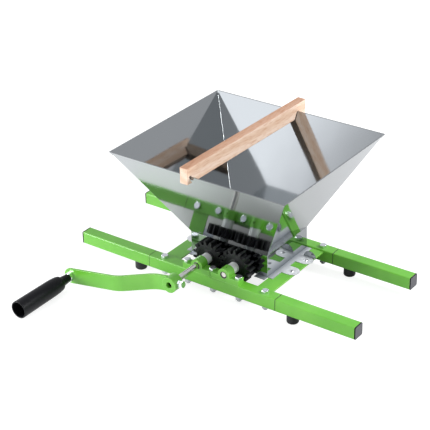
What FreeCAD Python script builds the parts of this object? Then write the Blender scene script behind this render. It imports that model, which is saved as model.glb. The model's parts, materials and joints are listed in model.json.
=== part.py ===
import FreeCAD, Part
import math
import os
import re
import Sketcher

# A hand-cranked fruit crusher, in millimetres and degrees.
# Two square-tube rails carry a pair of toothed rollers under a sheet-steel hopper.
# +X runs along the rails, +Y from the crank to the back, +Z up from the floor.
# The origin lies on the floor under the middle of the machine's overall box.

TOUCHING = 1e-6   # two places closer than this are the same place
THROUGH = "3*"    # a cut through a wall is three walls long, one before it and one behind

doc = FreeCAD.newDocument("fruit_crusher")
sizes = doc.addObject("Spreadsheet::Sheet", "Sizes")

DRIVING_SIZES = [
    ("rail_tube", 26, "outside width of the square rail tube"),
    ("rail_wall", 2, "wall of the rail tube"),
    ("rail_corner", 2.5, "outside corner radius of the rail tube"),
    ("centre_tube_length", 300, "length of the welded middle tube of a rail"),
    ("extension_length", 171.2, "length of a plug-in rail end"),
    ("joint_gap", 0.8, "slit between middle tube and rail end"),
    ("connector_slip", 0.2, "gap round a connector inside the tube"),
    ("connector_wall", 2, "wall of the connector tube"),
    ("connector_inboard", 45, "connector length inside the middle tube"),
    ("connector_outboard", 47, "connector length inside the rail end"),
    ("connector_bolt_inset", 30, "joint to connector bolt"),
    ("cap_flange", 3, "thickness of an end cap's visible flange"),
    ("cap_plug", 14, "length of an end cap's plug"),
    ("cap_round", 0.8, "rounding of an end cap's edge"),
    ("foot_height", 18, "height of a rubber foot"),
    ("foot_diameter", 24, "diameter of a rubber foot"),
    ("foot_inset", 32, "joint to foot"),
    ("foot_round", 3, "rounding of a foot's lower edge"),
    ("foot_screw_thread", 6, "thread of a foot screw"),
    ("foot_screw_head", 11, "head diameter of a foot screw"),
    ("foot_screw_head_height", 4, "head height of a foot screw"),
    ("foot_screw_length", 20, "shank length of a foot screw"),
    ("foot_recess", 13, "diameter of the recess under a foot"),
    ("foot_recess_depth", 8, "depth of the recess under a foot"),
    ("plate_gap", 2, "neck side to a cross plate's inner edge"),
    ("plate_width", 35, "width of a cross plate"),
    ("plate_thickness", 3, "thickness of a cross plate"),
    ("plate_drop", 2.5, "rail top down to cross plate top"),
    ("block_gap", 1, "slit between the two bearing blocks of a rail"),
    ("block_end", 66, "machine centre to a bearing block's outer end"),
    ("block_base_height", 12, "height of a bearing block's foot"),
    ("block_depth", 20, "depth of a bearing block"),
    ("block_round", 1.2, "rounding of a bearing block's edges"),
    ("boss_diameter", 26, "diameter of a bearing block's boss"),
    ("shaft_lift", 15, "rail top up to the shaft axes"),
    ("shaft_spread", 64, "distance between the shaft axes"),
    ("block_bolt_spread", 61, "machine centre to a block's outer bolt"),
    ("oil_hole", 4, "diameter of the oil hole in a boss"),
    ("bush_outer", 15, "outside diameter of a bush"),
    ("running_gap", 0.05, "radial clearance of a shaft in a bush"),
    ("shaft_diameter", 12, "diameter of both shafts"),
    ("shaft_inset", 1, "block face to shaft end"),
    ("shaft_chamfer", 1, "chamfer of a shaft end"),
    ("bolt_thread", 8, "thread of the frame bolts"),
    ("bolt_across", 13, "width across flats of the frame bolts"),
    ("bolt_head_height", 5.3, "head height of the frame bolts"),
    ("nut_height", 6.5, "height of the frame nuts"),
    ("hex_chamfer_angle", 30, "chamfer angle of every hexagon head and nut"),
    ("hex_face", 0.95, "flat round face of a hexagon head, as a share of its width"),
    ("washer_diameter", 16, "diameter of the frame washers"),
    ("washer_thickness", 1.6, "thickness of the frame washers"),
    ("bolt_tail", 3.5, "bolt end standing out of its nut"),
    ("hole_slack", 0.2, "radial clearance of a bolt in its hole"),
    ("gear_module", 4, "module of the spur gears"),
    ("gear_teeth", 16, "teeth of each spur gear"),
    ("gear_pressure_angle", 20, "pressure angle of the spur gears"),
    ("gear_root_clearance", 1, "tooth tip to root clearance"),
    ("gear_backlash", 0.4, "play between the meshed teeth"),
    ("gear_width", 20, "face width of a gear"),
    ("gear_gap", 11, "rail's inner face to the gears"),
    ("gear_hub", 30, "diameter of a gear's hub"),
    ("gear_rim", 46, "inside diameter of a gear's rim"),
    ("gear_recess", 1.5, "depth of the web's recess"),
    ("roller_diameter", 61, "outside diameter of a crushing roller"),
    ("roller_grooves", 8, "grooves round a roller"),
    ("groove_diameter", 15, "diameter of a roller's round groove"),
    ("roller_play", 1.5, "roller end to the neck's wall"),
    ("key_width", 4, "width and height of a shaft key"),
    ("roller_key_length", 60, "length of a roller's key"),
    ("key_slack", 0.05, "gap round a key"),
    ("sleeve_diameter", 22, "outside diameter of the spacer sleeves"),
    ("side_play", 0.4, "sleeve end to bearing block"),
    ("fit_gap", 0.05, "radial gap between a part and what it is pushed on"),
    ("gear_to_neck", 6.4, "gears back to the hopper's neck"),
    ("neck_to_rail", 2.6, "neck back to the rear rail"),
    ("hopper_sheet", 1, "sheet thickness of the hopper"),
    ("mouth_width", 400, "hopper mouth along the rails"),
    ("mouth_depth", 356, "hopper mouth across the rails"),
    ("funnel_height", 188.6, "height of the sloping part"),
    ("hem_height", 7, "height of the folded hem"),
    ("hem_thickness", 1.2, "how far the folded hem stands out"),
    ("neck_width", 182, "hopper neck along the rails"),
    ("neck_depth", 142, "hopper neck across the rails"),
    ("neck_height", 47.3, "height of the hopper neck"),
    ("slot_play", 1.5, "sleeve to the edge of the neck's slot"),
    ("flange_width", 12, "width of the flange beside the neck"),
    ("lip_width", 11, "width of the lip in front of the neck"),
    ("lip_length", 24, "length of a lip from the neck's corner"),
    ("ear_radius", 15, "radius of a fastening ear"),
    ("ear_reach", 27, "neck side to the ear's rivet"),
    ("ear_spread", 50, "distance between the two ears of a side"),
    ("tab_radius", 14, "radius of the upturned half-round tab"),
    ("guide_sheet", 1, "sheet thickness of a guide plate"),
    ("guide_flange", 12, "height of a guide plate's welded flange"),
    ("guide_drop", 24, "height of a guide plate's slope"),
    ("guide_reach", 24, "how far a guide plate reaches in"),
    ("rivet_shank", 4.8, "shank diameter of a blind rivet"),
    ("rivet_head", 9.5, "head diameter of a blind rivet"),
    ("rivet_head_height", 1.4, "head height of a blind rivet"),
    ("rivet_crown", 4.75, "diameter of the flat crown of a rivet head"),
    ("rivet_bore", 2.6, "mandrel hole of a blind rivet"),
    ("rivet_tail", 7, "diameter of a blind rivet's formed end"),
    ("rivet_tail_height", 2.2, "height of a blind rivet's formed end"),
    ("crank_boss_diameter", 32, "diameter of the crank's boss"),
    ("crank_boss_length", 23.6, "length of the crank's boss"),
    ("crank_gap", 65, "rail face to the crank's boss"),
    ("crank_bore_chamfer", 1, "chamfer of the crank's bore"),
    ("shaft_recess", 6, "crank boss face to the drive shaft's end"),
    ("arm_setback", 5.6, "boss face back to the arm's outer face"),
    ("arm_height", 32, "height of the crank's flat bar"),
    ("arm_thickness", 5, "thickness of the crank's flat bar"),
    ("arm_start", 6, "shaft axis to the bar's beginning inside the boss"),
    ("arm_straight", 38, "shaft axis to the first bend"),
    ("arm_slant", 77, "length of the slanted stretch"),
    ("arm_slant_angle", 25.5, "slant of the middle stretch"),
    ("arm_outer", 121, "second bend to the handle spindle"),
    ("arm_end_flat", 0.02, "flat left between the two roundings of the bar's end"),
    ("crank_drop", 10.1, "how far below level the crank points at rest"),
    ("set_bolt_gap", 5.6, "boss to the head of the crank's bolt"),
    ("lock_nut_height", 4.5, "height of the lock nut on that bolt"),
    ("set_bolt_depth", 8, "how deep that bolt sits in the boss"),
    ("handle_thread", 10, "thread of the handle spindle"),
    ("handle_across", 17, "width across flats of the handle nuts"),
    ("handle_nut_height", 8, "height of the handle nuts"),
    ("handle_head_height", 6.4, "head height of the handle spindle"),
    ("spindle_tail", 2, "spindle end standing out of the inner nut"),
    ("grip_gap", 0.5, "end play of the grip"),
    ("grip_length", 142.3, "length of the grip"),
    ("grip_diameter", 36, "diameter of the grip's open end"),
    ("grip_waist", 34, "diameter of the grip where its nose begins"),
    ("grip_nose", 26.4, "diameter of the nose at the shoulder"),
    ("grip_nose_length", 26, "length of the grip's tapered nose"),
    ("grip_collar", 21, "diameter of the grip's collar at the shoulder"),
    ("grip_collar_end", 16.4, "diameter of the collar's end at the nut"),
    ("grip_collar_length", 20, "length of the grip's tapered collar"),
    ("grip_shoulder_length", 3.5, "length of the shoulder behind the collar"),
    ("grip_hollow", 31, "diameter of the hollow in the grip's end"),
    ("grip_hollow_depth", 40, "depth of the hollow in the grip's end"),
    ("grip_rim_round", 1, "rounding of the grip's end"),
    ("bar_thickness", 18, "thickness of the wooden bar"),
    ("bar_height", 33, "height of the wooden bar"),
    ("bar_lap", 15.4, "how far the bar reaches below the hopper's rim"),
    ("bar_front_overhang", 6.4, "bar end in front of the hopper's rim"),
    ("bar_rear_overhang", 25.6, "bar end behind the hopper's rim"),
    ("bar_offset", 12.6, "bar's middle to the left of the machine centre"),
    ("bar_skew", 1.2, "how far the bar is turned from square"),
    ("bar_slot_play", 1.5, "gap each side of the rim in the bar's slots"),
    ("bar_round", 1.2, "rounding of the bar's edges"),
    ("rest_gap", 0.3, "gap under a part that is only laid on"),
]

# Sizes that follow from others, so that the rails always leave room for gears and neck
FOLLOWING_SIZES = [
    ("rail_spread", "=rail_tube + gear_gap + gear_width + gear_to_neck + neck_depth + neck_to_rail",
     "distance between the two rails' centre lines"),
    ("hopper_back", "=rail_spread/2 - rail_tube/2 - neck_to_rail - neck_depth/2",
     "frame centre back to the hopper's centre"),
    ("plate_inner", "=neck_width/2 + plate_gap", "machine centre to a cross plate's inner edge"),
]

ALL_SIZES = DRIVING_SIZES + FOLLOWING_SIZES
NAMES = set(name for name, value, meaning in ALL_SIZES)
for row, (name, value, meaning) in enumerate(ALL_SIZES, start=1):
    sizes.set("A%d" % row, name)
    sizes.set("B%d" % row, str(value))
    sizes.setAlias("B%d" % row, name)
    sizes.set("C%d" % row, meaning)
doc.recompute()

# Lengths and levels that several pieces share, as expressions of the driving sizes.
RAIL_AXIS = "(foot_height + rail_tube/2)"
RAIL_TOP = "(foot_height + rail_tube)"
RAIL_Y = "(rail_spread/2)"
RAIL_INNER = "(rail_spread/2 - rail_tube/2)"
RAIL_OUTER = "(rail_spread/2 + rail_tube/2)"
EXTENSION_X = "(centre_tube_length/2 + joint_gap + extension_length/2)"
FOOT_X = "(centre_tube_length/2 + foot_inset)"
CONNECTOR_BOLT_X = "(centre_tube_length/2 - connector_bolt_inset)"
BLOCK_Y = "(rail_spread/2 + rail_tube/2 - block_depth/2)"
BLOCK_INNER = "(rail_spread/2 + rail_tube/2 - block_depth)"
SHAFT_X = "(shaft_spread/2)"
SHAFT_Z = "(foot_height + rail_tube + shaft_lift)"
PLATE_TOP = "(foot_height + rail_tube - plate_drop)"
PLATE_X = "(plate_inner + plate_width/2)"
GEAR_FRONT = "(rail_spread/2 - rail_tube/2 - gear_gap)"
GEAR_REAR = "(rail_spread/2 - rail_tube/2 - gear_gap - gear_width)"
FOLD_Z = "(foot_height + rail_tube - plate_drop + neck_height)"
RIM_Z = "(foot_height + rail_tube - plate_drop + neck_height + funnel_height)"
ROLLER_LENGTH = "(neck_depth - 2*hopper_sheet - 2*roller_play)"
ROLLER_FRONT = "(hopper_back - neck_depth/2 + hopper_sheet + roller_play)"
ROLLER_REAR = "(hopper_back + neck_depth/2 - hopper_sheet - roller_play)"
EAR_X = "(neck_width/2 + ear_reach)"
BOSS_REAR = "(rail_spread/2 + rail_tube/2 + crank_gap)"
BOSS_FRONT = "(rail_spread/2 + rail_tube/2 + crank_gap + crank_boss_length)"
ARM_FACE = "(rail_spread/2 + rail_tube/2 + crank_gap + crank_boss_length - arm_setback)"
ARM_RUN = "(arm_slant*cos(arm_slant_angle))"
ARM_OFFSET = "(arm_slant*sin(arm_slant_angle))"
CRANK_RADIUS = "(arm_straight + " + ARM_RUN + " + arm_outer)"
HANDLE_FACE = "(" + ARM_FACE + " + " + ARM_OFFSET + ")"
GRIP_REAR = "(" + HANDLE_FACE + " + handle_nut_height + grip_gap)"
GRIP_FRONT = "(" + GRIP_REAR + " + grip_length)"
GRIP_DROP = "(" + CRANK_RADIUS + "*sin(crank_drop))"
BAR_REACH = "((mouth_depth/2 + bar_rear_overhang)*cos(bar_skew) + bar_thickness/2*sin(bar_skew))"
CENTRE_Y = "((hopper_back + " + BAR_REACH + " - " + GRIP_FRONT + ")/2)"

DIRECTIONS = {
    "X": FreeCAD.Vector(1, 0, 0),
    "Y": FreeCAD.Vector(0, 1, 0),
    "Z": FreeCAD.Vector(0, 0, 1),
}
UPRIGHT_TO = {
    "X": FreeCAD.Rotation(DIRECTIONS["Y"], 90),
    "-X": FreeCAD.Rotation(DIRECTIONS["Y"], -90),
    "Y": FreeCAD.Rotation(DIRECTIONS["X"], -90),
    "-Y": FreeCAD.Rotation(DIRECTIONS["X"], 90),
    "Z": FreeCAD.Rotation(),
    "-Z": FreeCAD.Rotation(DIRECTIONS["X"], 180),
}
nodes = []


def linked(text):
    """Turn plain size names into references to the sheet."""
    def to_cell(match):
        word = match.group(0)
        return "Sizes." + word if word in NAMES else word
    return re.sub(r"[a-z_]+", to_cell, text)


def size(name):
    return float(sizes.get(name))


def bind(item, prop, text):
    item.setExpression(prop, linked(text))


def shift(item, x, y, z):
    bind(item, "Placement.Base.x", x)
    bind(item, "Placement.Base.y", y)
    bind(item, "Placement.Base.z", z)


def turn(item, axis, angle):
    item.Placement = FreeCAD.Placement(FreeCAD.Vector(), FreeCAD.Rotation(DIRECTIONS[axis], angle))


def finish(item, label, x, y, z):
    """Name a sub-part and put it in its place in the machine."""
    item.Label = label
    shift(item, x, "(%s) - (%s)" % (y, CENTRE_Y), z)
    nodes.append(item)
    return item


# Primitives and booleans

def box(name, length, width, height, x, y, z):
    item = doc.addObject("Part::Box", name)
    bind(item, "Length", length)
    bind(item, "Width", width)
    bind(item, "Height", height)
    shift(item, x, y, z)
    return item


def middle_box(name, length, width, height, x, y, z):
    """A box that is centred on x and y and stands on z."""
    return box(name, length, width, height,
               "(%s) - (%s)/2" % (x, length), "(%s) - (%s)/2" % (y, width), z)


def cylinder(name, diameter, length, axis, x, y, z):
    item = doc.addObject("Part::Cylinder", name)
    item.Placement = FreeCAD.Placement(FreeCAD.Vector(), UPRIGHT_TO[axis])
    bind(item, "Radius", "(%s)/2" % diameter)
    bind(item, "Height", length)
    shift(item, x, y, z)
    return item


def hexagon(name, across, height, axis, x, y, z):
    """A hexagon head or nut whose far corners are chamfered."""
    prism = doc.addObject("Part::Prism", name + "_prism")
    prism.Polygon = 6
    bind(prism, "Circumradius", "(%s)/2/cos(180/%d)" % (across, prism.Polygon))
    bind(prism, "Height", height)
    cone = doc.addObject("Part::Cone", name + "_chamfer")
    bind(cone, "Radius2", "(%s)*hex_face/2" % across)
    bind(cone, "Radius1", "(%s)*hex_face/2 + (%s)/tan(hex_chamfer_angle)" % (across, height))
    bind(cone, "Height", height)
    item = doc.addObject("Part::Common", name)
    item.Base = prism
    item.Tool = cone
    item.Placement = FreeCAD.Placement(FreeCAD.Vector(), UPRIGHT_TO[axis])
    shift(item, x, y, z)
    return item


def joined(name, parts):
    item = doc.addObject("Part::MultiFuse", name)
    item.Shapes = parts
    return item


def without(name, base, tools):
    item = doc.addObject("Part::Cut", name)
    item.Base = base
    item.Tool = tools[0] if len(tools) == 1 else joined(name + "_tools", tools)
    return item


def group(name, parts):
    item = doc.addObject("Part::Compound", name)
    item.Links = parts
    return item


# Bodies made from sketches

def datum(body, role):
    return [item for item in body.Origin.OriginFeatures if item.Role == role][0]


def new_sketch(body, name, plane, lift):
    sketch = body.newObject("Sketcher::SketchObject", name)
    sketch.AttachmentSupport = [(datum(body, plane), "")]
    sketch.MapMode = "FlatFace"
    bind(sketch, "AttachmentOffset.Base.z", lift)
    return sketch


def tie(sketch, kind, corner, end, start_value, text):
    """Measure a point from the sketch's origin and bind it to the sheet."""
    number = sketch.addConstraint(Sketcher.Constraint(kind, -1, 1, corner, end, start_value))
    bind(sketch, "Constraints[%d]" % number, text)


def outline(body, name, plane, corners, lift="0"):
    """A closed outline of straight lines through the named corners."""
    sketch = new_sketch(body, name, plane, lift)
    count = len(corners)
    ring = []
    for corner in range(count):
        angle = 2*math.pi*corner/count
        ring.append(FreeCAD.Vector(math.cos(angle), math.sin(angle), 0))
    for corner in range(count):
        sketch.addGeometry(Part.LineSegment(ring[corner], ring[(corner + 1) % count]), False)
    for corner in range(count):
        sketch.addConstraint(Sketcher.Constraint("Coincident", corner, 2, (corner + 1) % count, 1))
    for corner, (across, up) in enumerate(corners):
        tie(sketch, "DistanceX", corner, 1, ring[corner].x, across)
        tie(sketch, "DistanceY", corner, 1, ring[corner].y, up)
    return sketch


def rectangle(body, name, plane, width, height, lift="0"):
    """A rectangle centred on the sketch's origin."""
    half_width = "(%s)/2" % width
    half_height = "(%s)/2" % height
    corners = [
        ("-" + half_width, "-" + half_height),
        (half_width, "-" + half_height),
        (half_width, half_height),
        ("-" + half_width, half_height),
    ]
    return outline(body, name, plane, corners, lift)


def circles(body, name, plane, rounds, lift="0"):
    """Circles, each given as diameter, across and up."""
    sketch = new_sketch(body, name, plane, lift)
    for number, (diameter, across, up) in enumerate(rounds):
        centre = FreeCAD.Vector(number, number, 0)
        sketch.addGeometry(Part.Circle(centre, DIRECTIONS["Z"], 1), False)
        tie(sketch, "DistanceX", number, 3, number, across)
        tie(sketch, "DistanceY", number, 3, number, up)
        index = sketch.addConstraint(Sketcher.Constraint("Diameter", number, 2))
        bind(sketch, "Constraints[%d]" % index, diameter)
    return sketch


def pad(body, name, sketch, length, midplane=True, turned_back=False):
    item = body.newObject("PartDesign::Pad", name)
    item.Profile = sketch
    item.Midplane = midplane
    item.Reversed = turned_back
    bind(item, "Length", length)
    return item


def pocket(body, name, sketch, length, midplane=True, turned_back=False):
    item = body.newObject("PartDesign::Pocket", name)
    item.Profile = sketch
    item.Midplane = midplane
    item.Reversed = turned_back
    bind(item, "Length", length)
    return item


def soften(body, name, radius, wanted):
    """Round every edge of the body so far that the test picks."""
    doc.recompute()
    tip = body.Tip
    names = ["Edge%d" % number for number, edge in enumerate(tip.Shape.Edges, start=1) if wanted(edge)]
    item = body.newObject("PartDesign::Fillet", name)
    item.Base = (tip, names)
    bind(item, "Radius", radius)
    return item


def along(edge, axis):
    """True for a straight edge parallel to the axis."""
    if edge.Curve.TypeId != "Part::GeomLine":
        return False
    return edge.tangentAt(edge.FirstParameter).cross(DIRECTIONS[axis]).Length < TOUCHING


def turned(name, axis, corners):
    """A solid of revolution; each corner is its place along the axis and its radius."""
    body = doc.addObject("PartDesign::Body", name)
    plane = "XZ_Plane" if axis == "Z" else "XY_Plane"
    upright = axis != "X"
    points = [(radius, place) if upright else (place, radius) for place, radius in corners]
    sketch = outline(body, name + "_profile", plane, points)
    item = body.newObject("PartDesign::Revolution", name + "_turning")
    item.Profile = sketch
    item.ReferenceAxis = (sketch, ["V_Axis" if upright else "H_Axis"])
    item.Angle = 360
    return body


def ring(name, axis, outer, inner, length):
    """A plain sleeve that begins at zero on its axis."""
    corners = [
        ("0", "(%s)/2" % inner),
        ("0", "(%s)/2" % outer),
        (length, "(%s)/2" % outer),
        (length, "(%s)/2" % inner),
    ]
    return turned(name, axis, corners)


# Rails: one welded middle tube and two plug-in ends each

def square_tube(name, outside, wall, corner, length, through_holes, bottom_holes):
    """A square tube along X with upright holes; each hole is diameter, x and y."""
    body = doc.addObject("PartDesign::Body", name)
    pad(body, name + "_bar", rectangle(body, name + "_outside", "YZ_Plane", outside, outside), length)
    soften(body, name + "_corners", corner, lambda edge: along(edge, "X"))
    inside = "(%s) - 2*(%s)" % (outside, wall)
    pocket(body, name + "_hollow", rectangle(body, name + "_inside", "YZ_Plane", inside, inside), length)
    if through_holes:
        drilling = circles(body, name + "_bolt_holes", "XY_Plane", through_holes)
        pocket(body, name + "_drilling", drilling, outside)
    if bottom_holes:
        drilling = circles(body, name + "_screw_hole", "XY_Plane", bottom_holes)
        pocket(body, name + "_screw_drilling", drilling, outside, midplane=False)
    return body


BOLT_HOLE = "(bolt_thread + 2*hole_slack)"
SCREW_HOLE = "(foot_screw_thread + 2*hole_slack)"
CONNECTOR_SIDE = "(rail_tube - 2*rail_wall - 2*connector_slip)"
CONNECTOR_LENGTH = "(connector_inboard + connector_outboard)"
CONNECTOR_X = "(centre_tube_length/2 - connector_inboard/2 + connector_outboard/2)"

for rail, sign in (("front", "-"), ("rear", "")):
    rail_y = sign + RAIL_Y
    bolt_offset = "%s(%s - %s)" % (sign, BLOCK_Y, RAIL_Y)
    block_places = ("-block_bolt_spread", "0", "block_bolt_spread")
    centre_holes = [(BOLT_HOLE, place, bolt_offset) for place in block_places]
    centre_holes += [(BOLT_HOLE, way + CONNECTOR_BOLT_X, "0") for way in ("-", "")]
    tube = square_tube(rail + "_centre_tube", "rail_tube", "rail_wall", "rail_corner",
                       "centre_tube_length", centre_holes, [])
    finish(tube, rail + "_centre_tube", "0", rail_y, RAIL_AXIS)
    for side, turned_round, way in (("left", 180, "-"), ("right", 0, "")):
        place = rail + "_" + side
        foot_in_end = "%s - %s" % (FOOT_X, EXTENSION_X)
        end_tube = square_tube(place + "_extension", "rail_tube", "rail_wall", "rail_corner",
                               "extension_length", [], [(SCREW_HOLE, foot_in_end, "0")])
        turn(end_tube, "Z", turned_round)
        finish(end_tube, place + "_extension", way + EXTENSION_X, rail_y, RAIL_AXIS)
        bolt_in_connector = "%s - %s" % (CONNECTOR_BOLT_X, CONNECTOR_X)
        foot_in_connector = "%s - %s" % (FOOT_X, CONNECTOR_X)
        connector = square_tube(place + "_connector", CONNECTOR_SIDE, "connector_wall", "rail_corner/2",
                                CONNECTOR_LENGTH, [(BOLT_HOLE, bolt_in_connector, "0")],
                                [(SCREW_HOLE, foot_in_connector, "0")])
        turn(connector, "Z", turned_round)
        finish(connector, place + "_connector", way + CONNECTOR_X, rail_y, RAIL_AXIS)

        cap = doc.addObject("PartDesign::Body", place + "_end_cap")
        flange = rectangle(cap, place + "_cap_outline", "YZ_Plane", "rail_tube", "rail_tube")
        pad(cap, place + "_cap_flange", flange, "cap_flange", midplane=False)
        soften(cap, place + "_cap_corners", "rail_corner", lambda edge: along(edge, "X"))
        outer_face = size("cap_flange")
        soften(cap, place + "_cap_rounding", "cap_round",
               lambda edge: abs(edge.BoundBox.XMin - outer_face) < TOUCHING)
        plug = rectangle(cap, place + "_plug_outline", "YZ_Plane", CONNECTOR_SIDE, CONNECTOR_SIDE)
        pad(cap, place + "_plug", plug, "cap_plug", midplane=False, turned_back=True)
        turn(cap, "Z", turned_round)
        cap_x = "%s(%s + extension_length/2)" % (way, EXTENSION_X)
        finish(cap, place + "_end_cap", cap_x, rail_y, RAIL_AXIS)

# Rubber feet, each held by a screw through the rail's lower wall

foot_screws = []
for rail, sign in (("front", "-"), ("rear", "")):
    for side, way in (("left", "-"), ("right", "")):
        place = rail + "_" + side
        foot_profile = [
            ("0", "foot_recess/2"),
            ("0", "foot_diameter/2"),
            ("foot_height", "foot_diameter/2"),
            ("foot_height", "foot_screw_thread/2 + hole_slack"),
            ("foot_recess_depth", "foot_screw_thread/2 + hole_slack"),
            ("foot_recess_depth", "foot_recess/2"),
        ]
        foot = turned(place + "_foot", "Z", foot_profile)
        foot_edge = size("foot_diameter")
        soften(foot, place + "_foot_rounding", "foot_round",
               lambda edge: edge.BoundBox.ZMax < TOUCHING and edge.BoundBox.XLength > foot_edge - 1)
        finish(foot, place + "_foot", way + FOOT_X, sign + RAIL_Y, "0")
        screw_x = way + FOOT_X
        screw_y = sign + RAIL_Y
        head_z = "foot_recess_depth - foot_screw_head_height"
        head = cylinder(place + "_screw_head", "foot_screw_head", "foot_screw_head_height", "Z",
                        screw_x, screw_y, head_z)
        shank = cylinder(place + "_screw_shank", "foot_screw_thread", "foot_screw_length", "Z",
                         screw_x, screw_y, "foot_recess_depth")
        foot_screws.append(joined(place + "_screw", [head, shank]))
finish(group("foot_screws", foot_screws), "foot_screws", "0", "0", "0")

# Cross plates, welded between the rails just below their tops

for side, way in (("left", "-"), ("right", "")):
    plate = doc.addObject("PartDesign::Body", side + "_cross_plate")
    plate_length = "(2*%s)" % RAIL_INNER
    sheet = rectangle(plate, side + "_plate_outline", "XY_Plane", "plate_width", plate_length)
    pad(plate, side + "_plate_pad", sheet, "plate_thickness", midplane=False, turned_back=True)
    hole_x = "%s(%s - %s)" % (way, EAR_X, PLATE_X)
    rivet_hole = "(rivet_shank + 2*fit_gap)"
    rivet_holes = [(rivet_hole, hole_x, "hopper_back %s ear_spread/2" % row) for row in ("-", "+")]
    drilling = circles(plate, side + "_plate_holes", "XY_Plane", rivet_holes)
    pocket(plate, side + "_plate_drilling", drilling, THROUGH + "plate_thickness")
    finish(plate, side + "_cross_plate", way + PLATE_X, "0", PLATE_TOP)

# Bearing blocks with their bushes, two on each rail

for rail, sign in (("front", "-"), ("rear", "")):
    for side, way, half_turn in (("left", "-", 0), ("right", "", 180)):
        place = rail + "_" + side
        block = doc.addObject("PartDesign::Body", place + "_block_body")
        outer_end = "-(block_end - %s)" % SHAFT_X
        inner_end = "(%s - block_gap/2)" % SHAFT_X
        base_corners = [
            (outer_end, "0"),
            (inner_end, "0"),
            (inner_end, "block_base_height"),
            (outer_end, "block_base_height"),
        ]
        base = outline(block, place + "_block_base", "XZ_Plane", base_corners)
        pad(block, place + "_base_pad", base, "block_depth")
        base_top = size("block_base_height")
        soften(block, place + "_base_rounding", "block_round",
               lambda edge: edge.BoundBox.ZMin > base_top - TOUCHING or along(edge, "Z"))
        boss = circles(block, place + "_boss_outline", "XZ_Plane", [("boss_diameter", "0", "shaft_lift")])
        pad(block, place + "_boss_pad", boss, "block_depth")
        bore = circles(block, place + "_bore_outline", "XZ_Plane",
                       [("bush_outer + 2*fit_gap", "0", "shaft_lift")])
        pocket(block, place + "_bore", bore, THROUGH + "block_depth")
        outer_bolt = "-(block_bolt_spread - %s)" % SHAFT_X
        bolt_holes = circles(block, place + "_block_holes", "XY_Plane",
                             [(BOLT_HOLE, outer_bolt, "0"), (BOLT_HOLE, SHAFT_X, "0")])
        pocket(block, place + "_block_drilling", bolt_holes, THROUGH + "block_base_height")
        oil = circles(block, place + "_oil_outline", "XY_Plane", [("oil_hole", "0", "0")], "shaft_lift")
        pocket(block, place + "_oil_drilling", oil, "boss_diameter", midplane=False, turned_back=True)
        turn(block, "Z", half_turn)
        finish(block, place + "_block", way + SHAFT_X, sign + BLOCK_Y, RAIL_TOP)
        bush = ring(place + "_bush_body", "Y", "bush_outer", "shaft_diameter + 2*running_gap",
                    "block_depth")
        finish(bush, place + "_bush", way + SHAFT_X, "%s%s - block_depth/2" % (sign, BLOCK_Y), SHAFT_Z)


# Frame bolts with washers and nuts under the rails

def frame_bolt(name, x, y, seat):
    """A bolt whose head stands on the seat and whose end passes the nut under the rail."""
    tail = "(foot_height - washer_thickness - nut_height - bolt_tail)"
    head = hexagon(name + "_head", "bolt_across", "bolt_head_height", "Z", x, y, seat)
    shank = cylinder(name + "_shank", "bolt_thread", "%s - %s" % (seat, tail), "Z", x, y, tail)
    return joined(name, [head, shank])


def frame_washer(name, x, y):
    disc = cylinder(name + "_disc", "washer_diameter", "washer_thickness", "Z",
                    x, y, "foot_height - washer_thickness")
    hole = cylinder(name + "_hole", "bolt_thread + 2*fit_gap", THROUGH + "washer_thickness", "Z",
                    x, y, "foot_height - 2*washer_thickness")
    return without(name, disc, [hole])


def frame_nut(name, x, y):
    """A hexagon nut with its chamfered side down."""
    top = "(foot_height - washer_thickness)"
    body = hexagon(name + "_hexagon", "bolt_across", "nut_height", "-Z", x, y, top)
    hole = cylinder(name + "_hole", "bolt_thread + 2*fit_gap", THROUGH + "nut_height", "-Z",
                    x, y, top + " + nut_height")
    return without(name, body, [hole])


BLOCK_TOP = "(foot_height + rail_tube + block_base_height)"
block_bolts = []
connector_bolts = []
rail_washers = []
rail_nuts = []
for rail, sign in (("front", "-"), ("rear", "")):
    places = [("outer_left", "-block_bolt_spread"), ("middle", "0"), ("outer_right", "block_bolt_spread")]
    for place, x in places:
        name = rail + "_" + place
        y = sign + BLOCK_Y
        block_bolts.append(frame_bolt(name + "_block_bolt", x, y, BLOCK_TOP))
        rail_washers.append(frame_washer(name + "_washer", x, y))
        rail_nuts.append(frame_nut(name + "_nut", x, y))
    for side, way in (("left", "-"), ("right", "")):
        name = rail + "_" + side + "_connector"
        x = way + CONNECTOR_BOLT_X
        y = sign + RAIL_Y
        connector_bolts.append(frame_bolt(name + "_bolt", x, y, RAIL_TOP))
        rail_washers.append(frame_washer(name + "_washer", x, y))
        rail_nuts.append(frame_nut(name + "_nut", x, y))
finish(group("block_bolt_set", block_bolts), "block_bolts", "0", "0", "0")
finish(group("connector_bolt_set", connector_bolts), "connector_bolts", "0", "0", "0")
finish(group("rail_washer_set", rail_washers), "rail_washers", "0", "0", "0")
finish(group("rail_nut_set", rail_nuts), "rail_nuts", "0", "0", "0")

# Hopper: a sloping funnel with a folded hem, welded on a straight neck

SLOPE_X = "((mouth_width/2 - hem_thickness - neck_width/2)/funnel_height)"
SLOPE_Y = "((mouth_depth/2 - hem_thickness - neck_depth/2)/funnel_height)"
WALL_X = "(hopper_sheet*sqrt(1 + %s^2))" % SLOPE_X
WALL_Y = "(hopper_sheet*sqrt(1 + %s^2))" % SLOPE_Y


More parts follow.
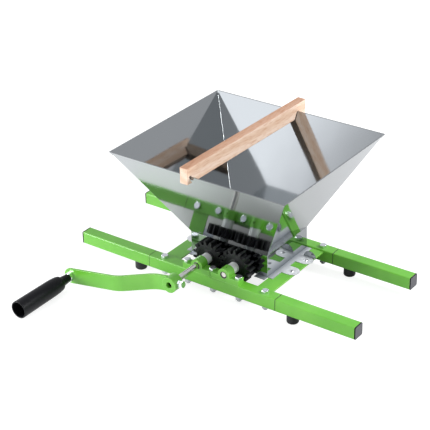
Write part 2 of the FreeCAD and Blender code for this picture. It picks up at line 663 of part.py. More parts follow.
def frustum(name, low_x, low_y, high_x, high_y, bottom, top):
    """Four sloping sides between two level rectangles, given by their half sizes."""
    item = doc.addObject("Part::Wedge", name)
    item.Placement = FreeCAD.Placement(FreeCAD.Vector(), FreeCAD.Rotation(DIRECTIONS["X"], 90))
    bind(item, "Xmin", "-(%s)" % low_x)
    bind(item, "Xmax", low_x)
    bind(item, "Zmin", "-(%s)" % low_y)
    bind(item, "Zmax", low_y)
    bind(item, "X2min", "-(%s)" % high_x)
    bind(item, "X2max", high_x)
    bind(item, "Z2min", "-(%s)" % high_y)
    bind(item, "Z2max", high_y)
    bind(item, "Ymin", bottom)
    bind(item, "Ymax", top)
    return item


funnel_skin = frustum("funnel_skin", "neck_width/2", "neck_depth/2",
                      "mouth_width/2 - hem_thickness", "mouth_depth/2 - hem_thickness", "0", "funnel_height")
hem_skin = frustum("hem_skin",
                   "mouth_width/2 - hem_height*%s" % SLOPE_X, "mouth_depth/2 - hem_height*%s" % SLOPE_Y,
                   "mouth_width/2", "mouth_depth/2", "funnel_height - hem_height", "funnel_height")
funnel_space = frustum("funnel_space",
                       "neck_width/2 - %s" % WALL_X, "neck_depth/2 - %s" % WALL_Y,
                       "mouth_width/2 - hem_thickness - %s" % WALL_X,
                       "mouth_depth/2 - hem_thickness - %s" % WALL_Y, "0", "funnel_height")
funnel = without("funnel_shell", joined("funnel_outside", [funnel_skin, hem_skin]), [funnel_space])
finish(funnel, "hopper_funnel", "0", "hopper_back", FOLD_Z)

# The neck's walls have slots, open below, that pass over the sleeves of both shafts
SLOT_WIDTH = "(sleeve_diameter + 2*slot_play)"
SLOT_TOP = "(plate_drop + shaft_lift)"
neck_outside = middle_box("neck_outside", "neck_width", "neck_depth", "neck_height", "0", "0", "0")
neck_space = middle_box("neck_space", "neck_width - 2*hopper_sheet", "neck_depth - 2*hopper_sheet",
                        "neck_height", "0", "0", "0")
neck_tube = without("neck_tube", neck_outside, [neck_space])
neck_slots = []
for side, way in (("left", "-"), ("right", "")):
    slot_x = way + SHAFT_X
    slot_length = "(neck_depth + 2*lip_width)"
    slot_start = "-%s/2" % slot_length
    neck_slots.append(middle_box(side + "_slot", SLOT_WIDTH, slot_length, SLOT_TOP, slot_x, "0", "0"))
    neck_slots.append(cylinder(side + "_slot_top", SLOT_WIDTH, slot_length, "Y",
                               slot_x, slot_start, SLOT_TOP))
slotted_neck = without("slotted_neck", neck_tube, neck_slots)

flanges = [slotted_neck]
for side, way in (("left", "-"), ("right", "")):
    flange_x = "%s(neck_width/2 + flange_width/2)" % way
    flanges.append(middle_box(side + "_flange", "flange_width", "neck_depth", "hopper_sheet",
                              flange_x, "0", "0"))
    lip_x = "%s(neck_width/2 - lip_length/2)" % way
    flanges.append(middle_box(side + "_lip", "lip_length", "lip_width", "hopper_sheet",
                              lip_x, "-(neck_depth/2 + lip_width/2)", "0"))
    for row, back in (("front", "-"), ("rear", "")):
        ear_y = "%sear_spread/2" % back
        arm_x = "%s(neck_width/2 + ear_reach/2)" % way
        flanges.append(middle_box(side + "_" + row + "_ear_arm", "ear_reach", "2*ear_radius", "hopper_sheet",
                                  arm_x, ear_y, "0"))
        flanges.append(cylinder(side + "_" + row + "_ear_disc", "2*ear_radius", "hopper_sheet", "Z",
                                way + EAR_X, ear_y, "0"))
    tab_y = "(ear_spread/2 + ear_radius - hopper_sheet)"
    tab_disc = cylinder(side + "_tab_disc", "2*tab_radius", "hopper_sheet", "Y", way + EAR_X, tab_y, "0")
    tab_cut = middle_box(side + "_tab_cut", THROUGH + "tab_radius", THROUGH + "hopper_sheet", "2*tab_radius",
                         way + EAR_X, tab_y, "-2*tab_radius")
    flanges.append(without(side + "_tab", tab_disc, [tab_cut]))
neck_sheet = joined("neck_sheet", flanges)
ear_holes = []
for side, way in (("left", "-"), ("right", "")):
    for row, back in (("front", "-"), ("rear", "")):
        ear_holes.append(cylinder(side + "_" + row + "_ear_hole", "rivet_shank + 2*fit_gap",
                                  THROUGH + "hopper_sheet", "Z", way + EAR_X, "%sear_spread/2" % back,
                                  "-hopper_sheet"))
neck = without("neck_shell", neck_sheet, ear_holes)
finish(neck, "hopper_neck", "0", "hopper_back", PLATE_TOP)

# Guide plates inside the neck keep the fruit off the gap beside the rollers
for side, way in (("left", "-"), ("right", "")):
    guide = doc.addObject("PartDesign::Body", side + "_guide_body")
    wall = "(neck_width/2 - hopper_sheet)"
    guide_top = "(neck_height - guide_sheet)"
    guide_bend = "(neck_height - guide_sheet - guide_flange)"
    guide_low = "(neck_height - guide_sheet - guide_flange - guide_drop)"
    slope_thickness = "(guide_sheet*sqrt(1 + (guide_reach/guide_drop)^2))"
    guide_corners = [
        ("%s%s" % (way, wall), guide_top),
        ("%s%s" % (way, wall), guide_bend),
        ("%s(%s - guide_reach)" % (way, wall), guide_low),
        ("%s(%s - guide_reach)" % (way, wall), guide_low + " + " + slope_thickness),
        ("%s(%s - guide_sheet)" % (way, wall), "%s + %s - guide_sheet" % (guide_bend, slope_thickness)),
        ("%s(%s - guide_sheet)" % (way, wall), guide_top),
    ]
    profile = outline(guide, side + "_guide_profile", "XZ_Plane", guide_corners)
    pad(guide, side + "_guide_pad", profile, "neck_depth - 2*hopper_sheet - 2*fit_gap")
    finish(guide, side + "_guide_plate", "0", "hopper_back", PLATE_TOP)

# Blind rivets through the ears and the cross plates
rivets = []
for side, way in (("left", "-"), ("right", "")):
    for row, back in (("front", "-"), ("rear", "")):
        name = side + "_" + row + "_rivet"
        ear_top = "(%s + hopper_sheet)" % PLATE_TOP
        plate_bottom = "(%s - plate_thickness)" % PLATE_TOP
        dome = doc.addObject("Part::Cone", name + "_dome")
        bind(dome, "Radius1", "rivet_head/2")
        bind(dome, "Radius2", "rivet_crown/2")
        bind(dome, "Height", "rivet_head_height")
        rivet_x = way + EAR_X
        rivet_y = "hopper_back %s ear_spread/2" % (back or "+")
        shift(dome, rivet_x, rivet_y, ear_top)
        shank = cylinder(name + "_shank", "rivet_shank", "%s - %s" % (ear_top, plate_bottom), "Z",
                         rivet_x, rivet_y, plate_bottom)
        tail = cylinder(name + "_tail", "rivet_tail", "rivet_tail_height", "Z",
                        rivet_x, rivet_y, "%s - rivet_tail_height" % plate_bottom)
        mandrel_hole = cylinder(name + "_bore", "rivet_bore", THROUGH + "rivet_head_height", "Z",
                                rivet_x, rivet_y, ear_top)
        rivets.append(without(name, joined(name + "_solid", [dome, shank, tail]), [mandrel_hole]))
finish(group("rivet_set", rivets), "hopper_rivets", "0", "0", "0")

# Shafts with a key seat under the gear and one under the roller

SHAFT_REAR = "(%s - shaft_inset)" % RAIL_OUTER
shaft_fronts = {
    "drive": "(%s - shaft_recess)" % BOSS_FRONT,
    "driven": SHAFT_REAR,
}
shaft_sides = {"drive": "-", "driven": ""}
ROLLER_MIDDLE = "hopper_back"
GEAR_MIDDLE = "(-(%s + %s)/2)" % (GEAR_FRONT, GEAR_REAR)
KEY_SEAT = "(shaft_diameter/2 - key_width/2)"

for shaft in ("drive", "driven"):
    front = "-" + shaft_fronts[shaft]
    rim = "shaft_diameter/2"
    shaft_profile = [
        (front, "0"),
        (front, rim + " - shaft_chamfer"),
        (front + " + shaft_chamfer", rim),
        (SHAFT_REAR + " - shaft_chamfer", rim),
        (SHAFT_REAR, rim + " - shaft_chamfer"),
        (SHAFT_REAR, "0"),
    ]
    blank = turned(shaft + "_shaft_blank", "Y", shaft_profile)
    seat_width = "(key_width + 2*key_slack)"
    gear_seat = middle_box(shaft + "_gear_seat", seat_width, "gear_width", "key_width",
                           "0", GEAR_MIDDLE, KEY_SEAT)
    roller_seat = middle_box(shaft + "_roller_seat", seat_width, "roller_key_length + 2*key_slack",
                             "key_width", "0", ROLLER_MIDDLE, KEY_SEAT)
    rod = without(shaft + "_shaft_rod", blank, [gear_seat, roller_seat])
    finish(rod, shaft + "_shaft", shaft_sides[shaft] + SHAFT_X, "0", SHAFT_Z)
    gear_key = middle_box(shaft + "_gear_key", "key_width", "gear_width - 2*key_slack", "key_width",
                          "0", GEAR_MIDDLE, KEY_SEAT)
    roller_key = middle_box(shaft + "_roller_key", "key_width", "roller_key_length", "key_width",
                            "0", ROLLER_MIDDLE, KEY_SEAT)
    key_pair = group(shaft + "_key_pair", [gear_key, roller_key])
    finish(key_pair, shaft + "_keys", shaft_sides[shaft] + SHAFT_X, "0", SHAFT_Z)


# Spur gears: involute teeth, a hub, a rim and a recessed web

def polar(radius, angle):
    return FreeCAD.Vector(radius*math.cos(angle), 0, radius*math.sin(angle))


def gear_face(first_tooth):
    """The toothed outline in the XZ plane; one tooth points at the given angle."""
    teeth = int(size("gear_teeth"))
    module = size("gear_module")
    pressure = math.radians(size("gear_pressure_angle"))
    pitch_radius = module*teeth/2
    base_radius = pitch_radius*math.cos(pressure)
    tip_radius = pitch_radius + module
    root_radius = pitch_radius - module - size("gear_root_clearance")
    thickness = math.pi*module/2 - size("gear_backlash")/2
    pitch_half = thickness/2/pitch_radius + math.tan(pressure) - pressure

    def half_angle(radius):
        roll = math.sqrt(max((radius/base_radius)**2 - 1, 0))
        return pitch_half - (roll - math.atan(roll))

    flank = [base_radius, (base_radius + tip_radius)/2, tip_radius]
    step = 2*math.pi/teeth
    edges = []
    for tooth in range(teeth):
        middle = first_tooth + tooth*step
        rising = [polar(radius, middle - half_angle(radius)) for radius in flank]
        falling = [polar(radius, middle + half_angle(radius)) for radius in reversed(flank)]
        root_start = polar(root_radius, middle - half_angle(base_radius))
        root_end = polar(root_radius, middle + half_angle(base_radius))
        next_root = polar(root_radius, middle + step - half_angle(base_radius))
        edges.append(Part.LineSegment(root_start, rising[0]).toShape())
        edges.append(Part.Arc(*rising).toShape())
        edges.append(Part.Arc(rising[2], polar(tip_radius, middle), falling[0]).toShape())
        edges.append(Part.Arc(*falling).toShape())
        edges.append(Part.LineSegment(falling[2], root_end).toShape())
        edges.append(Part.Arc(root_end, polar(root_radius, middle + step/2), next_root).toShape())
    return Part.Face(Part.Wire(edges))


def bar_on_axis(diameter, start, length):
    """A round bar along Y from the given place."""
    return Part.makeCylinder(diameter/2, length, FreeCAD.Vector(0, start, 0), DIRECTIONS["Y"])


def keyed(shape, length):
    """Bore the shape for the shaft and cut the seat for its key."""
    bore = size("shaft_diameter") + 2*size("fit_gap")
    key = size("key_width") + 2*size("key_slack")
    key_top = (size("shaft_diameter") + size("key_width"))/2 + size("key_slack")
    seat = Part.makeBox(key, length, key_top, FreeCAD.Vector(-key/2, 0, 0))
    return shape.cut(bar_on_axis(bore, 0, length)).cut(seat)


def gear_solid(first_tooth):
    width = size("gear_width")
    recess = size("gear_recess")
    solid = gear_face(first_tooth).extrude(FreeCAD.Vector(0, width, 0))
    for start in (0, width - recess):
        moat = bar_on_axis(size("gear_rim"), start, recess).cut(bar_on_axis(size("gear_hub"), start, recess))
        solid = solid.cut(moat)
    return keyed(solid, width)


half_pitch = math.pi/size("gear_teeth")
for shaft, first_tooth in (("drive", half_pitch), ("driven", 0)):
    gear = doc.addObject("Part::Feature", shaft + "_gear_shape")
    gear.Shape = gear_solid(first_tooth)
    finish(gear, shaft + "_gear", shaft_sides[shaft] + SHAFT_X, "-" + GEAR_FRONT, SHAFT_Z)

# Crushing rollers with round grooves; the driven roller's grooves face the other's ridges

for shaft, first_groove in (("drive", "0"), ("driven", "(180/roller_grooves)")):
    name = shaft + "_roller"
    roller = doc.addObject("PartDesign::Body", name + "_body")
    blank = circles(roller, name + "_outline", "XZ_Plane", [("roller_diameter", "0", "0")])
    pad(roller, name + "_blank", blank, ROLLER_LENGTH)
    cutter = circles(roller, name + "_groove_outline", "XZ_Plane",
                     [("groove_diameter", "roller_diameter/2*cos(%s)" % first_groove,
                       "roller_diameter/2*sin(%s)" % first_groove)])
    groove = pocket(roller, name + "_groove", cutter, THROUGH + ROLLER_LENGTH)
    doc.recompute()
    grooves = roller.newObject("PartDesign::PolarPattern", name + "_grooves")
    grooves.Originals = [groove]
    grooves.Axis = (datum(roller, "Y_Axis"), [""])
    grooves.Angle = 360
    bind(grooves, "Occurrences", "roller_grooves")
    roller.Tip = grooves
    bore = circles(roller, name + "_bore_outline", "XZ_Plane", [("shaft_diameter + 2*fit_gap", "0", "0")])
    pocket(roller, name + "_bore", bore, THROUGH + ROLLER_LENGTH)
    seat = middle_box(name + "_key_seat", "key_width + 2*key_slack", "roller_key_length + 2*key_slack",
                      "shaft_diameter/2 + key_width/2 + key_slack", "0", "0", "0")
    keyed_roller = without(name + "_keyed", roller, [seat])
    finish(keyed_roller, name, shaft_sides[shaft] + SHAFT_X, "hopper_back", SHAFT_Z)

# Sleeves that space gear, roller and bearings along each shaft

SLEEVE_BORE = "(shaft_diameter + 2*fit_gap)"
BEARING_FACE = "(%s - side_play)" % BLOCK_INNER
sleeve_spans = [
    ("front_sleeve", "-" + BEARING_FACE, "%s - %s" % (BEARING_FACE, GEAR_FRONT)),
    ("middle_sleeve", "-" + GEAR_REAR, "%s + %s" % (GEAR_REAR, ROLLER_FRONT)),
    ("rear_sleeve", ROLLER_REAR, "%s - %s" % (BEARING_FACE, ROLLER_REAR)),
]
for shaft in ("drive", "driven"):
    for place, start, length in sleeve_spans:
        name = shaft + "_" + place
        sleeve = ring(name + "_body", "Y", "sleeve_diameter", SLEEVE_BORE, length)
        finish(sleeve, name, shaft_sides[shaft] + SHAFT_X, start, SHAFT_Z)


# Crank: everything below is drawn along +X from the shaft's axis and then turned to its rest angle

def crank_piece(item, label):
    item.Placement = FreeCAD.Placement(FreeCAD.Vector(), FreeCAD.Rotation(DIRECTIONS["Y"], 90))
    bind(item, "Placement.Rotation.Angle", "180 - crank_drop")
    finish(item, label, "-" + SHAFT_X, "0", SHAFT_Z)


boss_bore = "(shaft_diameter/2 + fit_gap)"
boss_profile = [
    ("-" + BOSS_FRONT, boss_bore + " + crank_bore_chamfer"),
    ("-" + BOSS_FRONT, "crank_boss_diameter/2 - crank_bore_chamfer/2"),
    ("-%s + crank_bore_chamfer/2" % BOSS_FRONT, "crank_boss_diameter/2"),
    ("-%s - crank_bore_chamfer/2" % BOSS_REAR, "crank_boss_diameter/2"),
    ("-" + BOSS_REAR, "crank_boss_diameter/2 - crank_bore_chamfer/2"),
    ("-" + BOSS_REAR, boss_bore),
    ("-%s + crank_bore_chamfer" % BOSS_FRONT, boss_bore),
]
boss_blank = turned("crank_boss_blank", "Y", boss_profile)
BOSS_MIDDLE = "(-(%s + %s)/2)" % (BOSS_FRONT, BOSS_REAR)
boss_hole = cylinder("crank_boss_hole", "bolt_thread + 2*fit_gap", "crank_boss_diameter/2", "X",
                     "-crank_boss_diameter/2", BOSS_MIDDLE, "0")
crank_piece(without("crank_boss_ring", boss_blank, [boss_hole]), "crank_boss")

arm = doc.addObject("PartDesign::Body", "crank_arm_bar")
outer_y = "-" + ARM_FACE
far_y = "-" + HANDLE_FACE
bend = "(arm_thickness*tan(arm_slant_angle/2))"
arm_end = "(%s + arm_height/2)" % CRANK_RADIUS
second_bend = "(arm_straight + %s)" % ARM_RUN
arm_corners = [
    ("arm_start", outer_y),
    ("arm_straight", outer_y),
    (second_bend, far_y),
    (arm_end, far_y),
    (arm_end, far_y + " + arm_thickness"),
    (second_bend + " + " + bend, far_y + " + arm_thickness"),
    ("arm_straight + " + bend, outer_y + " + arm_thickness"),
    ("arm_start", outer_y + " + arm_thickness"),
]
arm_outline = outline(arm, "crank_arm_outline", "XY_Plane", arm_corners)
pad(arm, "crank_arm_pad", arm_outline, "arm_height")
doc.recompute()
arm_tip_x = max(vertex.X for vertex in arm.Shape.Vertexes)
soften(arm, "crank_arm_end", "arm_height/2 - arm_end_flat/2",
       lambda edge: along(edge, "Y") and edge.BoundBox.XMin > arm_tip_x - TOUCHING)
spindle_hole = circles(arm, "spindle_hole_outline", "XZ_Plane",
                       [("handle_thread + 2*fit_gap", CRANK_RADIUS, "0")], HANDLE_FACE)
pocket(arm, "spindle_hole", spindle_hole, THROUGH + "arm_thickness")
boss_space = cylinder("boss_space", "crank_boss_diameter", "crank_boss_length", "Y",
                      "0", "-" + BOSS_FRONT, "0")
crank_piece(without("crank_arm_cut", arm, [boss_space]), "crank_arm")

head_start = "(crank_boss_diameter/2 + set_bolt_gap)"
bolt_inner = "(crank_boss_diameter/2 - set_bolt_depth)"
set_head = hexagon("set_bolt_head", "bolt_across", "bolt_head_height", "-X",
                   "-" + head_start, BOSS_MIDDLE, "0")
set_shank = cylinder("set_bolt_shank", "bolt_thread", "%s - %s" % (head_start, bolt_inner), "X",
                     "-" + head_start, BOSS_MIDDLE, "0")
crank_piece(joined("set_bolt", [set_head, set_shank]), "crank_set_bolt")
lock_hexagon = hexagon("lock_nut_hexagon", "bolt_across", "lock_nut_height", "-X",
                       "-crank_boss_diameter/2", BOSS_MIDDLE, "0")
lock_hole = cylinder("lock_nut_hole", "bolt_thread + 2*fit_gap", THROUGH + "lock_nut_height", "X",
                     "-crank_boss_diameter/2 - 2*lock_nut_height", BOSS_MIDDLE, "0")
crank_piece(without("lock_nut", lock_hexagon, [lock_hole]), "crank_lock_nut")

# Handle: a long bolt clamped to the arm by two nuts, and a grip that turns on it
HOLLOW_FLOOR = "(%s - grip_hollow_depth)" % GRIP_FRONT
SPINDLE_HEAD = "(%s + grip_gap)" % HOLLOW_FLOOR
SPINDLE_END = "(%s - arm_thickness - handle_nut_height - spindle_tail)" % HANDLE_FACE
spindle_head = hexagon("spindle_head", "handle_across", "handle_head_height", "-Y",
                       CRANK_RADIUS, "-" + SPINDLE_HEAD, "0")
spindle_shank = cylinder("spindle_shank", "handle_thread", "%s - %s" % (SPINDLE_HEAD, SPINDLE_END), "Y",
                         CRANK_RADIUS, "-" + SPINDLE_HEAD, "0")
crank_piece(joined("spindle", [spindle_head, spindle_shank]), "handle_spindle")

nut_bore = "handle_thread + 2*fit_gap"
handle_nuts = []
nut_seats = [
    ("outer", "-Y", "-" + HANDLE_FACE),
    ("inner", "Y", "-%s + arm_thickness" % HANDLE_FACE),
]
for place, way, seat in nut_seats:
    body = hexagon(place + "_handle_hexagon", "handle_across", "handle_nut_height", way,
                   CRANK_RADIUS, seat, "0")
    hole = cylinder(place + "_handle_hole", nut_bore, THROUGH + "handle_nut_height", "Y",
                    CRANK_RADIUS, "%s - %s/2" % (seat, THROUGH + "handle_nut_height"), "0")
    handle_nuts.append(without(place + "_handle_nut", body, [hole]))
crank_piece(group("handle_nut_pair", handle_nuts), "handle_nuts")

grip_bore = "(handle_thread/2 + running_gap)"
collar_end = "-(%s + grip_collar_length)" % GRIP_REAR
shoulder_end = "-(%s + grip_collar_length + grip_shoulder_length)" % GRIP_REAR
nose_end = "-(%s + grip_collar_length + grip_shoulder_length + grip_nose_length)" % GRIP_REAR
grip_profile = [
    ("-" + GRIP_REAR, grip_bore),
    ("-" + GRIP_REAR, "grip_collar_end/2"),
    (collar_end, "grip_collar/2"),
    (shoulder_end, "grip_nose/2"),
    (nose_end, "grip_waist/2"),
    ("-" + GRIP_FRONT, "grip_diameter/2"),
    ("-" + GRIP_FRONT, "grip_hollow/2"),
    ("-" + HOLLOW_FLOOR, "grip_hollow/2"),
    ("-" + HOLLOW_FLOOR, grip_bore),
]
grip = turned("grip_body", "Y", grip_profile)
doc.recompute()
grip_end_y = grip.Shape.BoundBox.YMin
soften(grip, "grip_rounding", "grip_rim_round", lambda edge: edge.BoundBox.YMax < grip_end_y + TOUCHING)
finish(grip, "handle_grip", "-(%s) - %s*cos(crank_drop)" % (SHAFT_X, CRANK_RADIUS), "0",
       "%s - %s" % (SHAFT_Z, GRIP_DROP))

# Wooden bar: a board with two slanted slots that drop over the hopper's rim

bar = doc.addObject("PartDesign::Body", "bar_board")
slot_top = "rest_gap"
low = "-bar_lap"
high = "(bar_height - bar_lap)"
outer_edge = "(mouth_depth/2 + bar_slot_play)"
inner_edge = "(mouth_depth/2 - hem_thickness - %s - bar_slot_play)" % WALL_Y
slant = "(bar_lap*%s)" % SLOPE_Y
bar_corners = [
    ("-(mouth_depth/2 + bar_front_overhang)", low),
    ("-%s + %s" % (outer_edge, slant), low),
    ("-" + outer_edge, slot_top),
    ("-" + inner_edge, slot_top),
    ("-%s + %s" % (inner_edge, slant), low),
    ("%s - %s" % (inner_edge, slant), low),
    (inner_edge, slot_top),
    (outer_edge, slot_top),
    ("%s - %s" % (outer_edge, slant), low),
    ("mouth_depth/2 + bar_rear_overhang", low),
    ("mouth_depth/2 + bar_rear_overhang", high),
    ("-(mouth_depth/2 + bar_front_overhang)", high),
]
board = outline(bar, "bar_outline", "YZ_Plane", bar_corners)
pad(bar, "bar_pad", board, "bar_thickness")
bar_top = size("bar_height") - size("bar_lap")
soften(bar, "bar_rounding", "bar_round", lambda edge: edge.BoundBox.ZMin > bar_top - TOUCHING)
turn(bar, "Z", -size("bar_skew"))
bind(bar, "Placement.Rotation.Angle", "-bar_skew")
finish(bar, "wooden_bar", "-bar_offset", "hopper_back", RIM_Z)

# Every object has to be built, and every sub-part has to be a sound solid

doc.recompute()
for item in doc.Objects:
    for state in item.State:
        if state in ("Invalid", "Error"):
            raise RuntimeError("%s (%s) could not be built: %s" % (item.Label, item.Name, item.State))
for item in nodes:
    if item.Shape.isNull() or not item.Shape.isValid():
        raise RuntimeError("%s has no sound shape" % item.Label)

os.makedirs("parts", exist_ok=True)
for item in nodes:
    item.Shape.exportStep(os.path.join("parts", item.Label + ".step"))
    print("%-24s %d solid(s) %10.1f mm3" % (item.Label, len(item.Shape.Solids), item.Shape.Volume))
whole = Part.makeCompound([item.Shape for item in nodes]).BoundBox
print("%d nodes, %.1f x %.1f x %.1f mm" % (len(nodes), whole.XLength, whole.YLength, whole.ZLength))
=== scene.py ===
# %% [markdown]
# A hand-cranked fruit crusher, dressed for its portrait.
# Two nylon rollers turn under a mirror-bright steel hopper, on a frame of square green tube. The packed
# solids arrive as one fixed model in metres. This lesson gives every surface its finish, rounds the folds of
# the sheet, the bends of the crank and the nose of its grip, and eases most of the other edges.

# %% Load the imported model
import json
import math

import bpy
from mathutils import Matrix, Vector


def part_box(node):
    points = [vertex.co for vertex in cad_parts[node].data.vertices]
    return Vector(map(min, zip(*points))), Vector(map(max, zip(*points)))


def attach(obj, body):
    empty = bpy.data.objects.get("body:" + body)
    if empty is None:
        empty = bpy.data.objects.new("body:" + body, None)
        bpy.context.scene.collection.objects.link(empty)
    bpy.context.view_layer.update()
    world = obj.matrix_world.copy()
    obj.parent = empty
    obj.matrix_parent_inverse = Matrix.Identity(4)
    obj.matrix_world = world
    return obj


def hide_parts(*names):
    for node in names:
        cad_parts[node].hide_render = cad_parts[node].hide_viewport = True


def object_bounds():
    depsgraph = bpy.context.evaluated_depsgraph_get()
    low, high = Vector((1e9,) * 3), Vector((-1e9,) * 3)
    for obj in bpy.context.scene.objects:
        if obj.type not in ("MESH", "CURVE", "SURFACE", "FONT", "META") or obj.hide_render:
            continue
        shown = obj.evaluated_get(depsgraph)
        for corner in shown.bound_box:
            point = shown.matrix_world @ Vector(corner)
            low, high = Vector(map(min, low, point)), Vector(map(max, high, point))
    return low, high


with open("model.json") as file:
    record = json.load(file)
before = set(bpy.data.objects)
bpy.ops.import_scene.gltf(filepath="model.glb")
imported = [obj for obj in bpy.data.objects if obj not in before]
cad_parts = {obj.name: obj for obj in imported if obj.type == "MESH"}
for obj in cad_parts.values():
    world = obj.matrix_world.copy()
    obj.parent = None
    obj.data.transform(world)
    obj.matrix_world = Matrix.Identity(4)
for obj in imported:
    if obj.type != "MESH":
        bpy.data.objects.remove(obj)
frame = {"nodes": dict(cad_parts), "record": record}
nodes = frame["nodes"]
solid_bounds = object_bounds()
MM = 0.001

# %% [markdown]
# The camera comes first, because every finish is judged through it. A long lens from well back keeps the
# parallel rails nearly parallel. The machine is seen from its front right and from above, so that one looks
# down into the hopper, and the whole picture leans by a degree and a half.

# %% Camera
CAMERA_PLACE = Vector((1.33707, -1.8252, 1.3864))
CAMERA_AIM = Vector((-0.15366, 0.19391, 0.031))
CAMERA_ROLL = -0.02503
LENS = 112.82
SENSOR_WIDTH = 36
FARTHEST_SEEN = 40

bpy.ops.object.camera_add(location=CAMERA_PLACE)
camera = bpy.context.object
sight = CAMERA_AIM - CAMERA_PLACE
upright = sight.to_track_quat("-Z", "Y").to_matrix()
camera.rotation_euler = (upright @ Matrix.Rotation(CAMERA_ROLL, 3, "Z")).to_euler()
camera.data.sensor_fit = "HORIZONTAL"
camera.data.sensor_width = SENSOR_WIDTH
camera.data.lens = LENS
camera.data.clip_end = FARTHEST_SEEN
bpy.context.scene.camera = camera
print("camera", round(sight.length, 3), "m from what it looks at")

# %% [markdown]
# Colours are written the way a paint chart or a picture editor gives them, as sRGB hex values. Blender mixes
# light in linear values, so one function turns the first into the second. Another adds a shader node: it
# takes the node's kind, what goes into its sockets, its settings and, for a colour ramp, its stops. What goes
# into a socket may be a plain value, another node's output or a whole node, and of a whole node the first
# output that its settings leave open is used. Sockets go by name, or by number where names repeat: in a Mix
# node 0 is the factor, 2 and 3 are the values and 6 and 7 the colours that it mixes.

# %% Colour and node helpers
def linear(hex_colour):
    """An sRGB hex colour as the linear RGBA that shaders use."""
    parts = [int(hex_colour[i:i + 2], 16)/255 for i in (1, 3, 5)]
    return [c/12.92 if c <= 0.04045 else ((c + 0.055)/1.055)**2.4 for c in parts] + [1]


def fill(tree, node, sockets):
    """Fill a node's sockets with plain values, other nodes' outputs or whole nodes."""
    for name, value in sockets.items():
        if isinstance(value, bpy.types.Node):
            value = next(output for output in value.outputs if output.enabled)
        if isinstance(value, bpy.types.NodeSocket):
            tree.links.new(value, node.inputs[name])
        else:
            node.inputs[name].default_value = value


def add(tree, kind, sockets=None, stops=(), **settings):
    """Add one shader node with its settings, its links and the (position, hex colour) stops of a ramp."""
    node = tree.nodes.new("ShaderNode" + kind)
    for name, value in settings.items():
        setattr(node, name, value)
    for number, (position, colour) in enumerate(stops):
        elements = node.color_ramp.elements
        element = elements[number] if number < len(elements) else elements.new(position)
        element.position = position
        element.color = linear(colour)
    fill(tree, node, sockets or {})
    return node


print("apple green in linear light:", [round(c, 3) for c in linear("#6FB53F")])

# %% [markdown]
# The studio is a tent of soft light. Shiny things show the tent itself, so it is uneven: brightest behind
# the camera's left shoulder, dimmer overhead, and dimmest at the back right. The hopper's rear wall looks
# bright because it reflects the front of the tent, and its left wall grey because it reflects the back. The
# bright panel ends just where the rear wall's right half looks, so that half fades.
# What lights matt things is a softer tent, brightest overhead and dim near the floor, so it is properly dark
# under the hopper. A mirror that is lit by way of a matt surface gets the softer tent too. What the camera
# sees directly is plain white. Real lamps would do as well, but they would show in the mirror as lamps.

# %% The light tent
DAYLIGHT = linear("#FAFBFF")
TENT_BASE = 0.70
PANEL = 1.15
PANEL_SIDE = (-0.45, -0.82, 0.30)
PANEL_EDGE = (-0.85, 0.52, 0.0)
BACK_RIGHT = (0.68, 0.71, 0.20)
BACK_RIGHT_LOSS = -0.06
UP = (0.0, 0.0, 1.0)
NEAR_FLOOR = 0.08
OVERHEAD = 0.95
PANEL_ON_MATT = 0.14

bpy.context.scene.view_settings.view_transform = "Standard"
world = bpy.data.worlds.new("light_tent")
world.use_nodes = True
bpy.context.scene.world = world
tree = world.node_tree
tree.nodes.clear()
direction = add(tree, "TexCoord").outputs["Generated"]


def where(towards, start, end, amount):
    """An amount that fades in as a direction turns towards one side, between two cosines."""
    facing = add(tree, "VectorMath", {0: direction, 1: Vector(towards).normalized()}, operation="DOT_PRODUCT")
    return add(tree, "MapRange", {"Value": facing, "From Min": start, "From Max": end, "To Max": amount},
               interpolation_type="SMOOTHSTEP")


left_of_edge = where(PANEL_EDGE, -0.05, 0.04, 1.0)
panel = add(tree, "Math", {0: where(PANEL_SIDE, -0.10, 0.90, PANEL), 1: left_of_edge}, operation="MULTIPLY")
front = add(tree, "Math", {0: TENT_BASE, 1: panel}, operation="ADD")
level = add(tree, "Math", {0: front, 1: where(BACK_RIGHT, 0.30, 1.0, BACK_RIGHT_LOSS)}, operation="ADD")
mirrored = add(tree, "Background", {"Color": DAYLIGHT, "Strength": level})
overhead = add(tree, "Math", {0: NEAR_FLOOR, 1: where(UP, 0.05, 0.85, OVERHEAD)}, operation="ADD")
share = add(tree, "Math", {0: panel, 1: PANEL_ON_MATT}, operation="MULTIPLY")
softer = add(tree, "Math", {0: overhead, 1: share}, operation="ADD")
lighting = add(tree, "Background", {"Color": DAYLIGHT, "Strength": softer})
rays = add(tree, "LightPath").outputs
not_yet_matt = add(tree, "Math", {0: rays["Diffuse Depth"], 1: 0.5}, operation="LESS_THAN")
shiny = add(tree, "Math", {0: rays["Is Glossy Ray"], 1: not_yet_matt}, operation="MULTIPLY")
tent = add(tree, "MixShader", {0: shiny, 1: lighting, 2: mirrored})
backdrop = add(tree, "Background", {"Color": (1, 1, 1, 1), "Strength": 1.0})
seen = add(tree, "MixShader", {0: rays["Is Camera Ray"], 1: tent, 2: backdrop})
add(tree, "OutputWorld", {"Surface": seen})
print("tent of", len(tree.nodes), "nodes")

# %% [markdown]
# Two soft lamps give the light its direction. A large one, far off on the right and a little behind, lights
# the tops of the right-hand rails, and the hopper keeps it off the left ones. A smaller one stands low and
# near on the left, in front, so the crank's arm and the left end of the front rail are the brightest greens.
# A near lamp falls off quickly, and that makes the rail fade from left to right. The camera sees neither.

